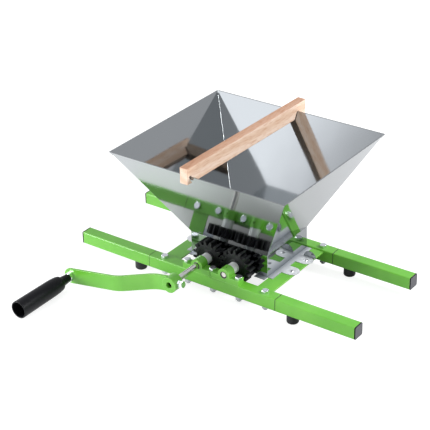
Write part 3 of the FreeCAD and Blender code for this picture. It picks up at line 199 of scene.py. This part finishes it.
# %% Lamps
def soft_lamp(name, place, aim, size, watts):
    """A round lamp of some size and power that looks at a point."""
    bpy.ops.object.light_add(type="AREA", location=place)
    lamp = bpy.context.object
    lamp.name = name
    lamp.data.shape = "DISK"
    lamp.data.size = size
    lamp.data.energy = watts
    lamp.rotation_euler = (Vector(aim) - Vector(place)).to_track_quat("-Z", "Y").to_euler()
    lamp.visible_camera = False
    print(name, watts, "W at", [round(c, 2) for c in place])


soft_lamp("window_lamp", (2.15, 1.15, 1.75), (0, 0, 0), 0.9, 72)
soft_lamp("front_lamp", (-0.95, -0.88, 0.30), (-0.15, -0.12, 0.04), 0.5, 11.5)

# %% [markdown]
# The floor is white paper. The camera sees it lit so well that it almost glows, with only a breath of shadow
# under the feet. The machine sees the same paper in plainer light. That paper is grey in the machine's own
# shade, and it glows more the farther it lies from a dark place at the back right, which leaves the front
# and the left brightest. Matt surfaces get only about half of the glow. Plain white paper would light the
# frame from below and wash out every reflection in the hopper's front.

# %% Floor
FLOOR_SIZE = 14
FLOOR_DEPTH = 0.6*MM
DARK_PLACE = (0.25, 0.30, 0.0)
DARK_RADIUS = 0.22
BRIGHT_RADIUS = 0.66
GLOW = 0.67
GLOW_LOST_ON_MATT = 0.45
SHADE_CENTRE = (0.0, 0.08, 0.0)
SHADE_RADIUS = 0.08
LIT_RADIUS = 0.22
GLOW_FOR_CAMERA = 0.84

bpy.ops.mesh.primitive_plane_add(size=FLOOR_SIZE, location=(0, 0, -FLOOR_DEPTH))
floor = bpy.context.object
floor.name = "studio_floor"
paper = bpy.data.materials.new("white_paper_floor")
paper.use_nodes = True
tree = paper.node_tree
tree.nodes.clear()
place = add(tree, "TexCoord").outputs["Object"]
rays = add(tree, "LightPath").outputs
from_dark = add(tree, "VectorMath", {0: place, 1: DARK_PLACE}, operation="DISTANCE")
far_off = add(tree, "MapRange", {"Value": from_dark, "From Min": DARK_RADIUS, "From Max": BRIGHT_RADIUS,
                                 "To Max": GLOW}, interpolation_type="SMOOTHSTEP")
kept = add(tree, "Math", {0: rays["Is Diffuse Ray"], 1: -GLOW_LOST_ON_MATT, 2: 1.0}, operation="MULTIPLY_ADD")
glow = add(tree, "Emission", {"Strength": add(tree, "Math", {0: far_off, 1: kept}, operation="MULTIPLY")})
from_shade = add(tree, "VectorMath", {0: place, 1: SHADE_CENTRE}, operation="DISTANCE")
lit = add(tree, "MapRange", {"Value": from_shade, "From Min": SHADE_RADIUS, "From Max": LIT_RADIUS})
shading = add(tree, "ValToRGB", {"Fac": lit}, stops=[(0.0, "#565656"), (1.0, "#DADADA")])
grey = add(tree, "BsdfDiffuse", {"Color": shading})
for_machine = add(tree, "AddShader", {0: grey, 1: glow})
white = add(tree, "BsdfDiffuse", {"Color": linear("#A0A0A0")})
glare = add(tree, "Emission", {"Color": (1, 1, 1, 1), "Strength": GLOW_FOR_CAMERA})
for_camera = add(tree, "AddShader", {0: white, 1: glare})
both = add(tree, "MixShader", {0: rays["Is Camera Ray"], 1: for_machine, 2: for_camera})
add(tree, "OutputMaterial", {"Surface": both})
floor.data.materials.append(paper)
print("floor", [round(c, 2) for c in floor.dimensions])

# %% [markdown]
# Every finish starts from the same Principled shader, set for what the real material is. The function below
# makes the material, gives it its roughness, metal and coat, and hands back its node tree with the
# coordinates that the patterns use. Those are in metres, so a pattern's scale is one over its size in metres.
# The last function finds edges, for the painted highlights and painted shade that are laid along them: it
# compares the surface's own direction with the one that it would have if its edges were rounded.

# %% A finish to start from
finishes = {}


def finish_of(slot, name, colour, **sockets):
    """A named material for one slot of the record, and what its patterns need."""
    material = bpy.data.materials.new(name)
    material.use_nodes = True
    material.diffuse_color = linear(colour)
    tree = material.node_tree
    shader = tree.nodes["Principled BSDF"]
    fill(tree, shader, {"Base Color": linear(colour)})
    fill(tree, shader, {socket.replace("_", " "): value for socket, value in sockets.items()})
    finishes[slot] = material
    return tree, shader, add(tree, "TexCoord").outputs["Object"]


def per_size(millimetres):
    """The scale of a texture whose features are this many millimetres across."""
    return 1000/millimetres


def edge_mask(tree, radius, start, end):
    """How near an edge is, from the way a rounding of some millimetres would turn the normal."""
    rounded = add(tree, "Bevel", {"Radius": radius*MM}, samples=4)
    straight = add(tree, "NewGeometry").outputs["Normal"]
    same = add(tree, "VectorMath", {0: rounded, 1: straight}, operation="DOT_PRODUCT")
    return add(tree, "MapRange", {"Value": same, "From Min": 1 - start, "From Max": 1 - end})


print("a 2 mm pattern has the scale", per_size(2))

# %% [markdown]
# Powder coat is a dry paint that is sprayed on and baked. It flows into a glossy skin with a faint orange
# peel about two millimetres across, and its edges are painted a lighter green, a painted highlight for the
# light that rounded edges catch. A little cloudiness in the green keeps the long flat faces from looking like
# plastic. Where an extension meets its centre tube, the seam is a thin dark line. The seams lie at one
# distance from the machine's middle, and the crank's arm crosses that distance too, so the line is drawn only
# from the front rail backwards.

# %% Green powder coat
SEAM = 1.4*MM
tube_low, tube_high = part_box("front_centre_tube")
tree, shader, place = finish_of("green_powder_coat", "apple green powder coat", "#67B534",
                                Roughness=0.32, Coat_Weight=0.3, Coat_Roughness=0.12)
cloud = add(tree, "TexNoise", {"Vector": place, "Scale": per_size(70), "Detail": 3.0})
green = add(tree, "ValToRGB", {"Fac": cloud}, stops=[(0.30, "#60AE2E"), (0.52, "#67B534"), (0.72, "#71BD3C")])
edge = edge_mask(tree, 1.3, 0.02, 0.22)
# Painted highlight: the edges are mixed towards a pale green.
edge_highlight = add(tree, "Mix", {0: edge, 6: green, 7: linear("#B4E584")}, data_type="RGBA")
xyz = add(tree, "SeparateXYZ", {0: place}).outputs
from_middle = add(tree, "Math", {0: xyz["X"]}, operation="ABSOLUTE")
at_joint = add(tree, "Math", {0: from_middle, 1: tube_high.x, 2: SEAM/2}, operation="COMPARE")
on_rails = add(tree, "Math", {0: xyz["Y"], 1: tube_low.y - 1*MM}, operation="GREATER_THAN")
seam = add(tree, "Math", {0: at_joint, 1: on_rails}, operation="MULTIPLY")
painted = add(tree, "Mix", {0: seam, 6: edge_highlight, 7: linear("#2C4A1B")}, data_type="RGBA")
peel = add(tree, "TexNoise", {"Vector": place, "Scale": per_size(2.2), "Detail": 1.0})
relief = add(tree, "Bump", {"Height": peel, "Distance": 0.03*MM, "Strength": 0.35})
fill(tree, shader, {"Base Color": painted, "Normal": relief})
print("finish", finishes["green_powder_coat"].name, "with seams at", round(tube_high.x, 4), "m")

# %% [markdown]
# The hopper is thin stainless sheet with a mirror polish. A mirror shows every wave in the sheet, so a slow
# bump the size of a hand bends the reflections, and a faint haze of polishing scratches softens them, in
# patches two fingers wide. The small flanges at the foot of the neck are riveted down and never polished.
# They keep the satin of the rolled sheet, and a painted reflection runs across them from grey beside the neck
# to near white outwards. The polishing wheel doesn't reach the folds and rims, so they are rougher, and
# painted shade makes them a dull grey.

# %% Mirror-polished stainless steel
POLISHED = "#ACB0B2"
FLANGE = 1.1*MM
FLANGE_LIGHT_FROM = 92*MM
FLANGE_LIGHT_TO = 112*MM
SATIN_ROUGHNESS = 0.36
FOLD_ROUGHNESS = 0.5
flange_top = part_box("hopper_neck")[0].z + FLANGE
tree, shader, place = finish_of("mirror_stainless", "mirror polished stainless sheet", POLISHED,
                                Metallic=1.0, Roughness=0.06)
xyz = add(tree, "SeparateXYZ", {0: place}).outputs
fold = edge_mask(tree, 1.1, 0.03, 0.20)
flange = add(tree, "Math", {0: xyz["Z"], 1: flange_top}, operation="LESS_THAN")
haze = add(tree, "TexNoise", {"Vector": place, "Scale": per_size(28), "Detail": 4.0, "Roughness": 0.6})
hazy = add(tree, "MapRange", {"Value": haze, "To Min": 0.035, "To Max": 0.10})
satin = add(tree, "Mix", {0: flange, 2: hazy, 3: SATIN_ROUGHNESS})
unpolished = add(tree, "Mix", {0: fold, 2: satin, 3: FOLD_ROUGHNESS})
side = add(tree, "Math", {0: xyz["X"]}, operation="ABSOLUTE")
outwards = add(tree, "MapRange", {"Value": side, "From Min": FLANGE_LIGHT_FROM, "From Max": FLANGE_LIGHT_TO})
# Painted reflection: the flanges go from grey beside the neck to near white outwards.
flange_painted_light = add(tree, "ValToRGB", {"Fac": outwards}, stops=[(0.0, "#9DA2A8"), (1.0, "#F6F8FA")])
skin = add(tree, "Mix", {0: flange, 6: linear(POLISHED), 7: flange_painted_light}, data_type="RGBA")
# Painted shade: the folds and rims are mixed towards a dull grey.
fold_shade = add(tree, "Mix", {0: fold, 6: skin, 7: linear("#505356")}, data_type="RGBA")
metal = add(tree, "Mix", {0: flange, 2: 1.0, 3: 0.55})
wave = add(tree, "TexNoise", {"Vector": place, "Scale": per_size(110), "Detail": 1.0})
relief = add(tree, "Bump", {"Height": wave, "Distance": 0.8*MM, "Strength": 0.35})
fill(tree, shader, {"Base Color": fold_shade, "Roughness": unpolished, "Metallic": metal, "Normal": relief})
print("finish", finishes["mirror_stainless"].name, "with flanges below", round(flange_top, 4), "m")

# %% [markdown]
# The shafts are bright drawn steel bar. Drawing leaves it almost a mirror, so it shows a dark band between
# two light ones, and turning leaves fine rings round it. Those are a tenth of a millimetre or so apart, and
# they are drawn much coarser here, so that they show at all. The sawn end of the drive shaft, deep in the
# crank's boss, is painted dark as painted shade for the inside of the bore. The spacer sleeves on the shafts
# are turned from a paler bar and stay satin.

# %% Bright drawn steel
DRAWN = "#D4D2CC"
SAWN = 1.2*MM
ROUND_SHAFT = (0.15, 1.0, 0.15)
sawn_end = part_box("drive_shaft")[0].y + SAWN
tree, shader, place = finish_of("bright_steel", "bright drawn steel", DRAWN, Metallic=1.0, Roughness=0.1)
around = add(tree, "Mapping", {"Vector": place, "Scale": ROUND_SHAFT})
rings = add(tree, "TexNoise", {"Vector": around, "Scale": per_size(0.8), "Detail": 2.0})
turned = add(tree, "MapRange", {"Value": rings, "To Min": 0.06, "To Max": 0.14})
relief = add(tree, "Bump", {"Height": rings, "Distance": 0.02*MM, "Strength": 0.15})
front = add(tree, "SeparateXYZ", {0: place}).outputs["Y"]
sawn = add(tree, "Math", {0: front, 1: sawn_end}, operation="LESS_THAN")
# Painted shade: the end of the shaft inside the boss is painted dark.
end_shade = add(tree, "Mix", {0: sawn, 6: linear(DRAWN), 7: linear("#3A3632")}, data_type="RGBA")
fill(tree, shader, {"Base Color": end_shade, "Roughness": turned, "Normal": relief})

tree, shader, place = finish_of("pale_sleeve", "satin turned sleeve", "#EDF0ED", Metallic=0.15, Roughness=0.3)
around = add(tree, "Mapping", {"Vector": place, "Scale": ROUND_SHAFT})
rings = add(tree, "TexNoise", {"Vector": around, "Scale": per_size(1.6), "Detail": 1.0})
relief = add(tree, "Bump", {"Height": rings, "Distance": 0.03*MM, "Strength": 0.3})
fill(tree, shader, {"Normal": relief})
print("finishes", finishes["bright_steel"].name, "and", finishes["pale_sleeve"].name)

# %% [markdown]
# Bolts, nuts and washers are zinc plated: a thin bluish-white metal skin over rolled steel, with a soft shine
# that is mottled every three millimetres or so. The keys in the shafts are plain ground steel, and the rivets
# are aluminium, duller than zinc and not so blue.

# %% Zinc plate, key steel and aluminium
tree, shader, place = finish_of("zinc_plated_steel", "bright zinc plate", "#E6EAEE",
                                Metallic=1.0, Roughness=0.16)
mottle = add(tree, "TexNoise", {"Vector": place, "Scale": per_size(3), "Detail": 2.0})
mottled = add(tree, "MapRange", {"Value": mottle, "To Min": 0.10, "To Max": 0.24})
relief = add(tree, "Bump", {"Height": mottle, "Distance": 0.03*MM, "Strength": 0.3})
fill(tree, shader, {"Roughness": mottled, "Normal": relief})

finish_of("key_steel", "ground key steel", "#A9A9A6", Metallic=1.0, Roughness=0.35)
tree, shader, place = finish_of("aluminium_rivet", "drawn aluminium", "#D4D5D7", Metallic=1.0, Roughness=0.3)
draw = add(tree, "TexNoise", {"Vector": place, "Scale": per_size(1.2), "Detail": 1.0})
relief = add(tree, "Bump", {"Height": draw, "Distance": 0.02*MM, "Strength": 0.3})
fill(tree, shader, {"Normal": relief})
print("finishes", len(finishes))

# %% [markdown]
# Six black finishes look alike in a list and differ in the hand. Nylon, cast or turned, has a waxy shine,
# moulded plastic a fine spark-eroded grain, rubber is dull and a little dusty, and painted steel is glossy.
# Each gets its own roughness, its own grain and a slightly different black. Real grain is a few tenths of a
# millimetre wide, and it is drawn one or two millimetres wide here, so that it shows. The caps' outer faces
# are painted a light grey, painted light for how bright the black faces look in strong light, and their
# sides stay black.

# %% Black finishes
CAP_BLACK = "#101013"
CAP_FACE = 0.5*MM
VARIATION = 0.08


def black(slot, name, colour, roughness, grain, depth, **sockets):
    """A black finish with a fine grain of its own size and depth in millimetres."""
    tree, shader, place = finish_of(slot, name, colour, Roughness=roughness, **sockets)
    speck = add(tree, "TexNoise", {"Vector": place, "Scale": per_size(grain), "Detail": 2.0})
    grained = add(tree, "MapRange", {"Value": speck, "To Min": roughness - VARIATION,
                                     "To Max": roughness + VARIATION})
    relief = add(tree, "Bump", {"Height": speck, "Distance": depth*MM, "Strength": 0.4})
    fill(tree, shader, {"Roughness": grained, "Normal": relief})
    return tree, shader, place


black("black_nylon", "black cast nylon", "#101113", 0.38, 2.0, 0.04, Specular_IOR_Level=0.35)
black("black_nylon_bush", "turned black nylon", "#101112", 0.40, 1.0, 0.02)
black("black_grip_plastic", "satin black plastic grip", "#08090E", 0.42, 1.4, 0.03, Specular_IOR_Level=0.2)
black("black_rubber", "moulded black rubber", "#16171A", 0.6, 1.5, 0.05)
black("black_steel", "black painted steel", "#141414", 0.3, 2.0, 0.03, Coat_Weight=0.3)
tree, shader, place = black("black_plastic_cap", "grained black plastic", CAP_BLACK, 0.45, 1.2, 0.05,
                            Specular_IOR_Level=0.08)
side = add(tree, "Math", {0: add(tree, "SeparateXYZ", {0: place}).outputs["X"]}, operation="ABSOLUTE")
outer_face = add(tree, "Math", {0: side, 1: solid_bounds[1][0] - CAP_FACE}, operation="GREATER_THAN")
# Painted light: the caps' outer faces are painted light grey.
painted_face_light = add(tree, "Mix", {0: outer_face, 6: linear(CAP_BLACK), 7: linear("#5E5E62")}, data_type="RGBA")
fill(tree, shader, {"Base Color": painted_face_light})
print("finishes", len(finishes))

# %% [markdown]
# The presser bar is planed beech. Beech is pale and pinkish, with close straight grain along its length and
# short dark flecks where the rays of the wood are cut. The bar is sawn nearly along the trunk's rings, so
# they show as broad soft bands. They come from a wave texture wrapped round an axis below the bar and to its
# left, and grain and flecks from a noise that is drawn out along the bar. The wave texture makes twenty
# radians of wave from each unit of its scaled coordinates, so its scale follows from the width of a band. The
# top of the bar is painted a shade darker, as painted shade where less light falls from above.

# %% Planed beech
BAND_WIDTH = 20.372*MM
PITH = Vector((-0.06, 0.0, 0.20))
PITH_TILT = (0.02, 0.0, 0.021)
TOP_SHADE_FROM = 1.5*MM
TOP_SHADE_TO = 0.3*MM
bar_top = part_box("wooden_bar")[1].z
tree, shader, place = finish_of("beech_wood", "planed beech", "#E8C6A6", Roughness=0.55)
trunk = add(tree, "Mapping", {"Vector": place, "Location": -PITH, "Rotation": PITH_TILT})
rings = add(tree, "TexWave", {"Vector": trunk, "Scale": math.pi/10/BAND_WIDTH, "Distortion": 2.2,
                              "Detail": 2.0, "Detail Scale": 0.6}, wave_type="RINGS", rings_direction="Y")
lengthwise = add(tree, "Mapping", {"Vector": place, "Scale": (1.0, 0.06, 1.0)})
fibre = add(tree, "TexNoise", {"Vector": lengthwise, "Scale": per_size(1.3), "Detail": 3.0})
bands = add(tree, "ValToRGB", {"Fac": rings.outputs["Fac"]},
            stops=[(0.0, "#E0BFA5"), (0.55, "#E8CCB5"), (1.0, "#EDD4C1")])
fleck = add(tree, "ValToRGB", {"Fac": fibre}, stops=[(0.35, "#DDBB9C"), (0.50, "#FFFFFF")])
grain = add(tree, "Mix", {0: 0.75, 6: bands, 7: fleck}, data_type="RGBA", blend_type="MULTIPLY")
height = add(tree, "SeparateXYZ", {0: place}).outputs["Z"]
top = add(tree, "MapRange", {"Value": height, "From Min": bar_top - TOP_SHADE_FROM,
                             "From Max": bar_top - TOP_SHADE_TO})
# Painted shade: the top of the bar is multiplied darker.
top_shade = add(tree, "Mix", {0: top, 6: grain, 7: linear("#D0BBAE")}, data_type="RGBA", blend_type="MULTIPLY")
relief = add(tree, "Bump", {"Height": fibre, "Distance": 0.08*MM, "Strength": 0.4})
fill(tree, shader, {"Base Color": top_shade, "Normal": relief})
print("finish", finishes["beech_wood"].name, "darker above", round(bar_top - TOP_SHADE_FROM, 4), "m")

# %% [markdown]
# New pieces are modelled as by hand: a ring is put in place, then it is extruded, turned and scaled, step by
# step. Four small helpers do what the mouse would. An operator acts on all that is selected, so everything is
# deselected first. A finished piece gets outward faces, smooth shading, a finish and a body to ride on.

# %% Modelling helpers
def begin_ring(name, corners, radius, place, turn=(0, 0, 0)):
    """Start a piece as one filled ring, and stay in edit mode with the ring selected."""
    bpy.ops.object.select_all(action="DESELECT")
    bpy.ops.mesh.primitive_circle_add(vertices=corners, radius=radius, fill_type="NGON", location=place,
                                      rotation=turn)
    bpy.context.object.name = name
    bpy.ops.object.transform_apply(location=True, rotation=True, scale=True)
    bpy.ops.object.mode_set(mode="EDIT")
    bpy.ops.mesh.select_all(action="SELECT")
    return bpy.context.object


def grow(step, scale=(1, 1, 1), about=(0, 0, 0)):
    """Extrude the selected ring by a step, then scale it about a point."""
    bpy.ops.mesh.extrude_region_move(TRANSFORM_OT_translate={"value": step})
    if scale != (1, 1, 1):
        bpy.ops.transform.resize(value=scale, center_override=about)


def swing(angle, axis, centre):
    """Extrude the selected ring and turn it about an axis through a point."""
    bpy.ops.mesh.extrude_region_move(TRANSFORM_OT_translate={"value": (0, 0, 0)})
    bpy.ops.transform.rotate(value=angle, orient_axis=axis, center_override=centre)


def finished(piece, slot, body, smooth=40):
    """Apply the modifiers, shade the piece, give it its finish and hand it to its body."""
    bpy.ops.object.mode_set(mode="EDIT")
    bpy.ops.mesh.select_all(action="SELECT")
    bpy.ops.mesh.normals_make_consistent(inside=False)
    bpy.ops.object.mode_set(mode="OBJECT")
    for modifier in list(piece.modifiers):
        bpy.ops.object.modifier_apply(modifier=modifier.name)
    bpy.ops.object.shade_smooth_by_angle(angle=math.radians(smooth))
    level = piece.modifiers.new("flat faces stay flat", "WEIGHTED_NORMAL")
    level.keep_sharp = True
    bpy.ops.object.modifier_apply(modifier=level.name)
    piece.data.materials.clear()
    piece.data.materials.append(finishes[slot])
    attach(piece, body)
    print(piece.name, len(piece.data.polygons), "faces on", body)


joints = {joint["name"]: joint for joint in frame["record"]["behaviour"]["joints"]}
crank_joint = Vector(joints["crank_spin"]["pos_m"])
grip_joint = Vector(joints["grip_spin"]["pos_m"])
shaft_axis = Vector((crank_joint.x, 0, crank_joint.z))
grip_axis = Vector((grip_joint.x, 0, grip_joint.z))
crank_radius = (grip_axis - shaft_axis).length
crank_drop = math.atan2(shaft_axis.z - grip_axis.z, shaft_axis.x - grip_axis.x)
print("crank radius", round(crank_radius, 4), "m, drop", round(math.degrees(crank_drop), 2), "degrees")

# %% [markdown]
# The crank's arm is one flat bar, bent twice round a former, so its bends are wide and soft. Plain extrusion
# would leave sharp creases. Here the bar's section is swung round each bend's centre in small steps, and its
# outer end is rounded by shrinking the section along a half circle. It is drawn level and then dropped to its
# rest angle. Its root lies inside the boss, a little beyond the shaft's axis. Lengths are given from that
# axis to the first corner and from corner to corner, as if the bends were sharp, so each flat part is shorter
# by what the bends at its ends take up.

# %% Crank arm
BAR_HEIGHT = 32*MM
BAR_THICKNESS = 5*MM
BEND_RADIUS = 60*MM
BEND_STEPS = 8
END_STEPS = 9
END_SWEEP = 0.98*math.pi/2
BEND_ANGLE = math.radians(25.5)
ROOT = 6*MM
FIRST_CORNER = 38.57*MM
SLANT_LENGTH = 77*MM
arm_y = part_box("crank_arm")[1].y - BAR_THICKNESS/2
taken_up = BEND_RADIUS*math.tan(BEND_ANGLE/2)

arm = begin_ring("crank_arm_bar", 4, math.sqrt(0.5), (0, 0, 0), (0, math.pi/2, 0))
bpy.ops.transform.rotate(value=math.pi/4, orient_axis="X", center_override=(0, 0, 0))
bpy.ops.transform.resize(value=(1, BAR_THICKNESS, BAR_HEIGHT), center_override=(0, 0, 0))
bpy.ops.transform.translate(value=(shaft_axis.x - ROOT, arm_y, shaft_axis.z))
reach = FIRST_CORNER - ROOT - taken_up
grow((-reach, 0, 0))
x = shaft_axis.x - ROOT - reach
for step in range(BEND_STEPS):
    swing(-BEND_ANGLE/BEND_STEPS, "Z", (x, arm_y - BEND_RADIUS, shaft_axis.z))
slant = SLANT_LENGTH - 2*taken_up
grow((-slant*math.cos(BEND_ANGLE), -slant*math.sin(BEND_ANGLE), 0))
x -= BEND_RADIUS*math.sin(BEND_ANGLE) + slant*math.cos(BEND_ANGLE)
y = arm_y - BEND_RADIUS*(1 - math.cos(BEND_ANGLE)) - slant*math.sin(BEND_ANGLE)
centre = (x - BEND_RADIUS*math.sin(BEND_ANGLE), y + BEND_RADIUS*math.cos(BEND_ANGLE), shaft_axis.z)
for step in range(BEND_STEPS):
    swing(BEND_ANGLE/BEND_STEPS, "Z", centre)
grow((shaft_axis.x - crank_radius - centre[0], 0, 0))
print("arm's section swung to", round(shaft_axis.x - crank_radius, 4), "m")

# %% The arm's rounded end, its rest angle and its edges
out, half = 0.0, 1.0
for step in range(1, END_STEPS + 1):
    angle = END_SWEEP*step/END_STEPS
    grow((-(math.sin(angle) - out)*BAR_HEIGHT/2, 0, 0), (1, 1, math.cos(angle)/half), shaft_axis)
    out, half = math.sin(angle), math.cos(angle)
bpy.ops.object.mode_set(mode="OBJECT")
drop = Matrix.Rotation(-crank_drop, 4, "Y")
arm.matrix_world = Matrix.Translation(shaft_axis) @ drop @ Matrix.Translation(-shaft_axis)
bpy.ops.object.transform_apply(location=True, rotation=True, scale=True)
bevel = arm.modifiers.new("eased", "BEVEL")
bevel.width = 0.8*MM
bevel.segments = 3
bevel.limit_method = "ANGLE"
bevel.angle_limit = math.radians(50)
finished(arm, "green_powder_coat", "drive_train")
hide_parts("crank_arm")
print("arm", [[round(c, 4) for c in corner] for corner in arm.bound_box][::6])

# %% [markdown]
# The grip is moulded in one go: a slim collar at the nut, a shoulder, a nose that swells like a bullet, a
# long body that widens a little, and a thin-walled open end. It is drawn as rings about its own axis, from
# the collar to the rim and back inside the hollow. The nose follows a quarter of an ellipse, so it has no
# crease. Its lengths and radii are given in millimetres.

# %% Grip
GRIP_CORNERS = 56
NOSE_STEPS = 9
COLLAR_LENGTH = 20
SHOULDER_LENGTH = 3.5
NOSE_LENGTH = 34
HOLLOW_DEPTH = 40
COLLAR_RADIUS = 8.0
NOSE_RADIUS = 13.6
NOSE_SWELL = 3.6
low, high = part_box("handle_grip")
collar_y, rim_y = high.y, low.y
shoulder_y = collar_y - COLLAR_LENGTH*MM
nose_y = shoulder_y - SHOULDER_LENGTH*MM
waist_y = nose_y - NOSE_LENGTH*MM


def profile(start, *rings):
    """Rings given as millimetres from a place on the axis and radii in millimetres."""
    return [(start + offset*MM, radius*MM) for offset, radius in rings]


grip_rings = profile(collar_y, (-0.4, 8.2))
grip_rings += profile(shoulder_y, (1.2, 10.3), (0, 10.6), (-0.6, 11.4))
grip_rings += profile(nose_y, (0.9, 12.9))
for step in range(NOSE_STEPS + 1):
    angle = math.pi/2*step/NOSE_STEPS
    ring_y = nose_y + (waist_y - nose_y)*(1 - math.cos(angle))
    grip_rings += profile(ring_y, (0, NOSE_RADIUS + NOSE_SWELL*math.sin(angle)))
grip_rings += profile(rim_y, (1.0, 18.0), (0.3, 17.75), (0, 17.2), (0, 16.2), (0.3, 15.75), (1.0, 15.5),
                      (HOLLOW_DEPTH, 15.4))

grip = begin_ring("moulded_grip", GRIP_CORNERS, COLLAR_RADIUS*MM, (grip_axis.x, collar_y, grip_axis.z),
                  (math.pi/2, 0, 0))
y, radius = collar_y, COLLAR_RADIUS*MM
for ring_y, ring_radius in grip_rings:
    ratio = ring_radius/radius
    grow((0, ring_y - y, 0), (ratio, 1, ratio), (grip_axis.x, ring_y, grip_axis.z))
    y, radius = ring_y, ring_radius
finished(grip, "black_grip_plastic", "grip", smooth=50)
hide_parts("handle_grip")

# %% [markdown]
# The funnel and the neck are folded from sheet, and a fold is never a knife edge: the sheet turns in a small
# radius. The solids have sharp folds, so a copy of each is merged into clean faces and its long corner folds
# are bevelled, the sheet's other edges staying as they are. The thin rim where funnel and neck meet is taken
# out first and bridged again afterwards, so that it follows the roundings.

# %% Folded sheet
FOLD_RADIUS = 0.7*MM
LONG_FOLD = 30*MM
TOUCHING = 0.01*MM
FLAT_ANGLE = math.radians(0.5)
joint_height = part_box("hopper_neck")[1].z


def clean_copy(name, node):
    """A copy of a sheet solid, merged into clean faces and left in object mode with nothing selected."""
    bpy.ops.object.select_all(action="DESELECT")
    sheet = nodes[node].copy()
    sheet.data = nodes[node].data.copy()
    sheet.name = name
    bpy.context.collection.objects.link(sheet)
    bpy.context.view_layer.objects.active = sheet
    sheet.select_set(True)
    bpy.ops.mesh.customdata_custom_splitnormals_clear()
    bpy.ops.object.mode_set(mode="EDIT")
    bpy.ops.mesh.select_all(action="SELECT")
    bpy.ops.mesh.remove_doubles(threshold=TOUCHING)
    bpy.ops.mesh.dissolve_limited(angle_limit=FLAT_ANGLE)
    bpy.ops.mesh.select_all(action="DESELECT")
    bpy.ops.object.mode_set(mode="OBJECT")
    return sheet


def runs_down(first, second):
    """A corner fold: it goes from high to low, and towards a corner of the hopper."""
    way = second - first
    return abs(way.z) > LONG_FOLD and abs(abs(way.x) - abs(way.y)) < 0.25*way.length


def folded(name, node):
    """Put a copy with rounded folds in the place of a sheet solid."""
    sheet = clean_copy(name, node)
    bpy.context.tool_settings.mesh_select_mode = (False, False, True)
    for face in sheet.data.polygons:
        face.select = abs(face.normal.z) > 0.99 and abs(face.center.z - joint_height) < TOUCHING
    bpy.ops.object.mode_set(mode="EDIT")
    bpy.ops.mesh.delete(type="FACE")
    bpy.ops.object.mode_set(mode="OBJECT")
    bpy.context.tool_settings.mesh_select_mode = (False, True, False)
    places = [vertex.co for vertex in sheet.data.vertices]
    for edge in sheet.data.edges:
        edge.select = runs_down(*(places[i] for i in edge.vertices))
    print(name, "has", sum(edge.select for edge in sheet.data.edges), "rounded folds")
    bpy.ops.object.mode_set(mode="EDIT")
    bpy.ops.mesh.bevel(offset=FOLD_RADIUS, segments=4, clamp_overlap=False)
    bpy.ops.mesh.select_all(action="DESELECT")
    bpy.ops.mesh.select_non_manifold(use_wire=False, use_multi_face=False, use_non_contiguous=False,
                                     use_verts=False)
    bpy.ops.mesh.bridge_edge_loops()
    bpy.context.tool_settings.mesh_select_mode = (True, False, False)
    finished(sheet, "mirror_stainless", "frame", smooth=35)
    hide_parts(node)


folded("folded_funnel", "hopper_funnel")
folded("folded_neck", "hopper_neck")

# %% [markdown]
# Each solid arrives with a plain material named for its slot. The finish with the same name takes its place,
# so a solid never has to be listed by hand. The sleeves share the shafts' slot and get their own finish.
# The solids also have knife edges, as a drawing has, and little that is made is that sharp. A Bevel modifier
# eases every edge that turns by more than 30 degrees, on the finishes listed below and by as many
# millimetres. It needs clean faces, so Weld joins the loose triangles first and a planar Decimate takes out
# the lines across flat faces, and Weighted Normals then keeps the flat faces looking flat beside the
# roundings.

# %% Finishes and eased edges for the solids
EASE = {"green_powder_coat": 0.7, "black_nylon": 0.35, "beech_wood": 1.0, "black_plastic_cap": 0.3,
        "zinc_plated_steel": 0.2, "bright_steel": 0.3, "black_rubber": 0.8}
for name, node in nodes.items():
    slot = node.data.materials[0].name
    node.data.materials[0] = finishes["pale_sleeve" if name.endswith("sleeve") else slot]
    if slot not in EASE:
        continue
    merged = node.modifiers.new("merged", "WELD")
    merged.merge_threshold = 0.005*MM
    plain = node.modifiers.new("plain faces", "DECIMATE")
    plain.decimate_type = "DISSOLVE"
    plain.angle_limit = FLAT_ANGLE
    eased = node.modifiers.new("eased edges", "BEVEL")
    eased.width = EASE[slot]*MM
    eased.segments = 2
    eased.limit_method = "ANGLE"
    eased.angle_limit = math.radians(30)
    level = node.modifiers.new("even shading", "WEIGHTED_NORMAL")
    level.keep_sharp = False
print("dressed", len(nodes), "solids in", len(finishes), "finishes")
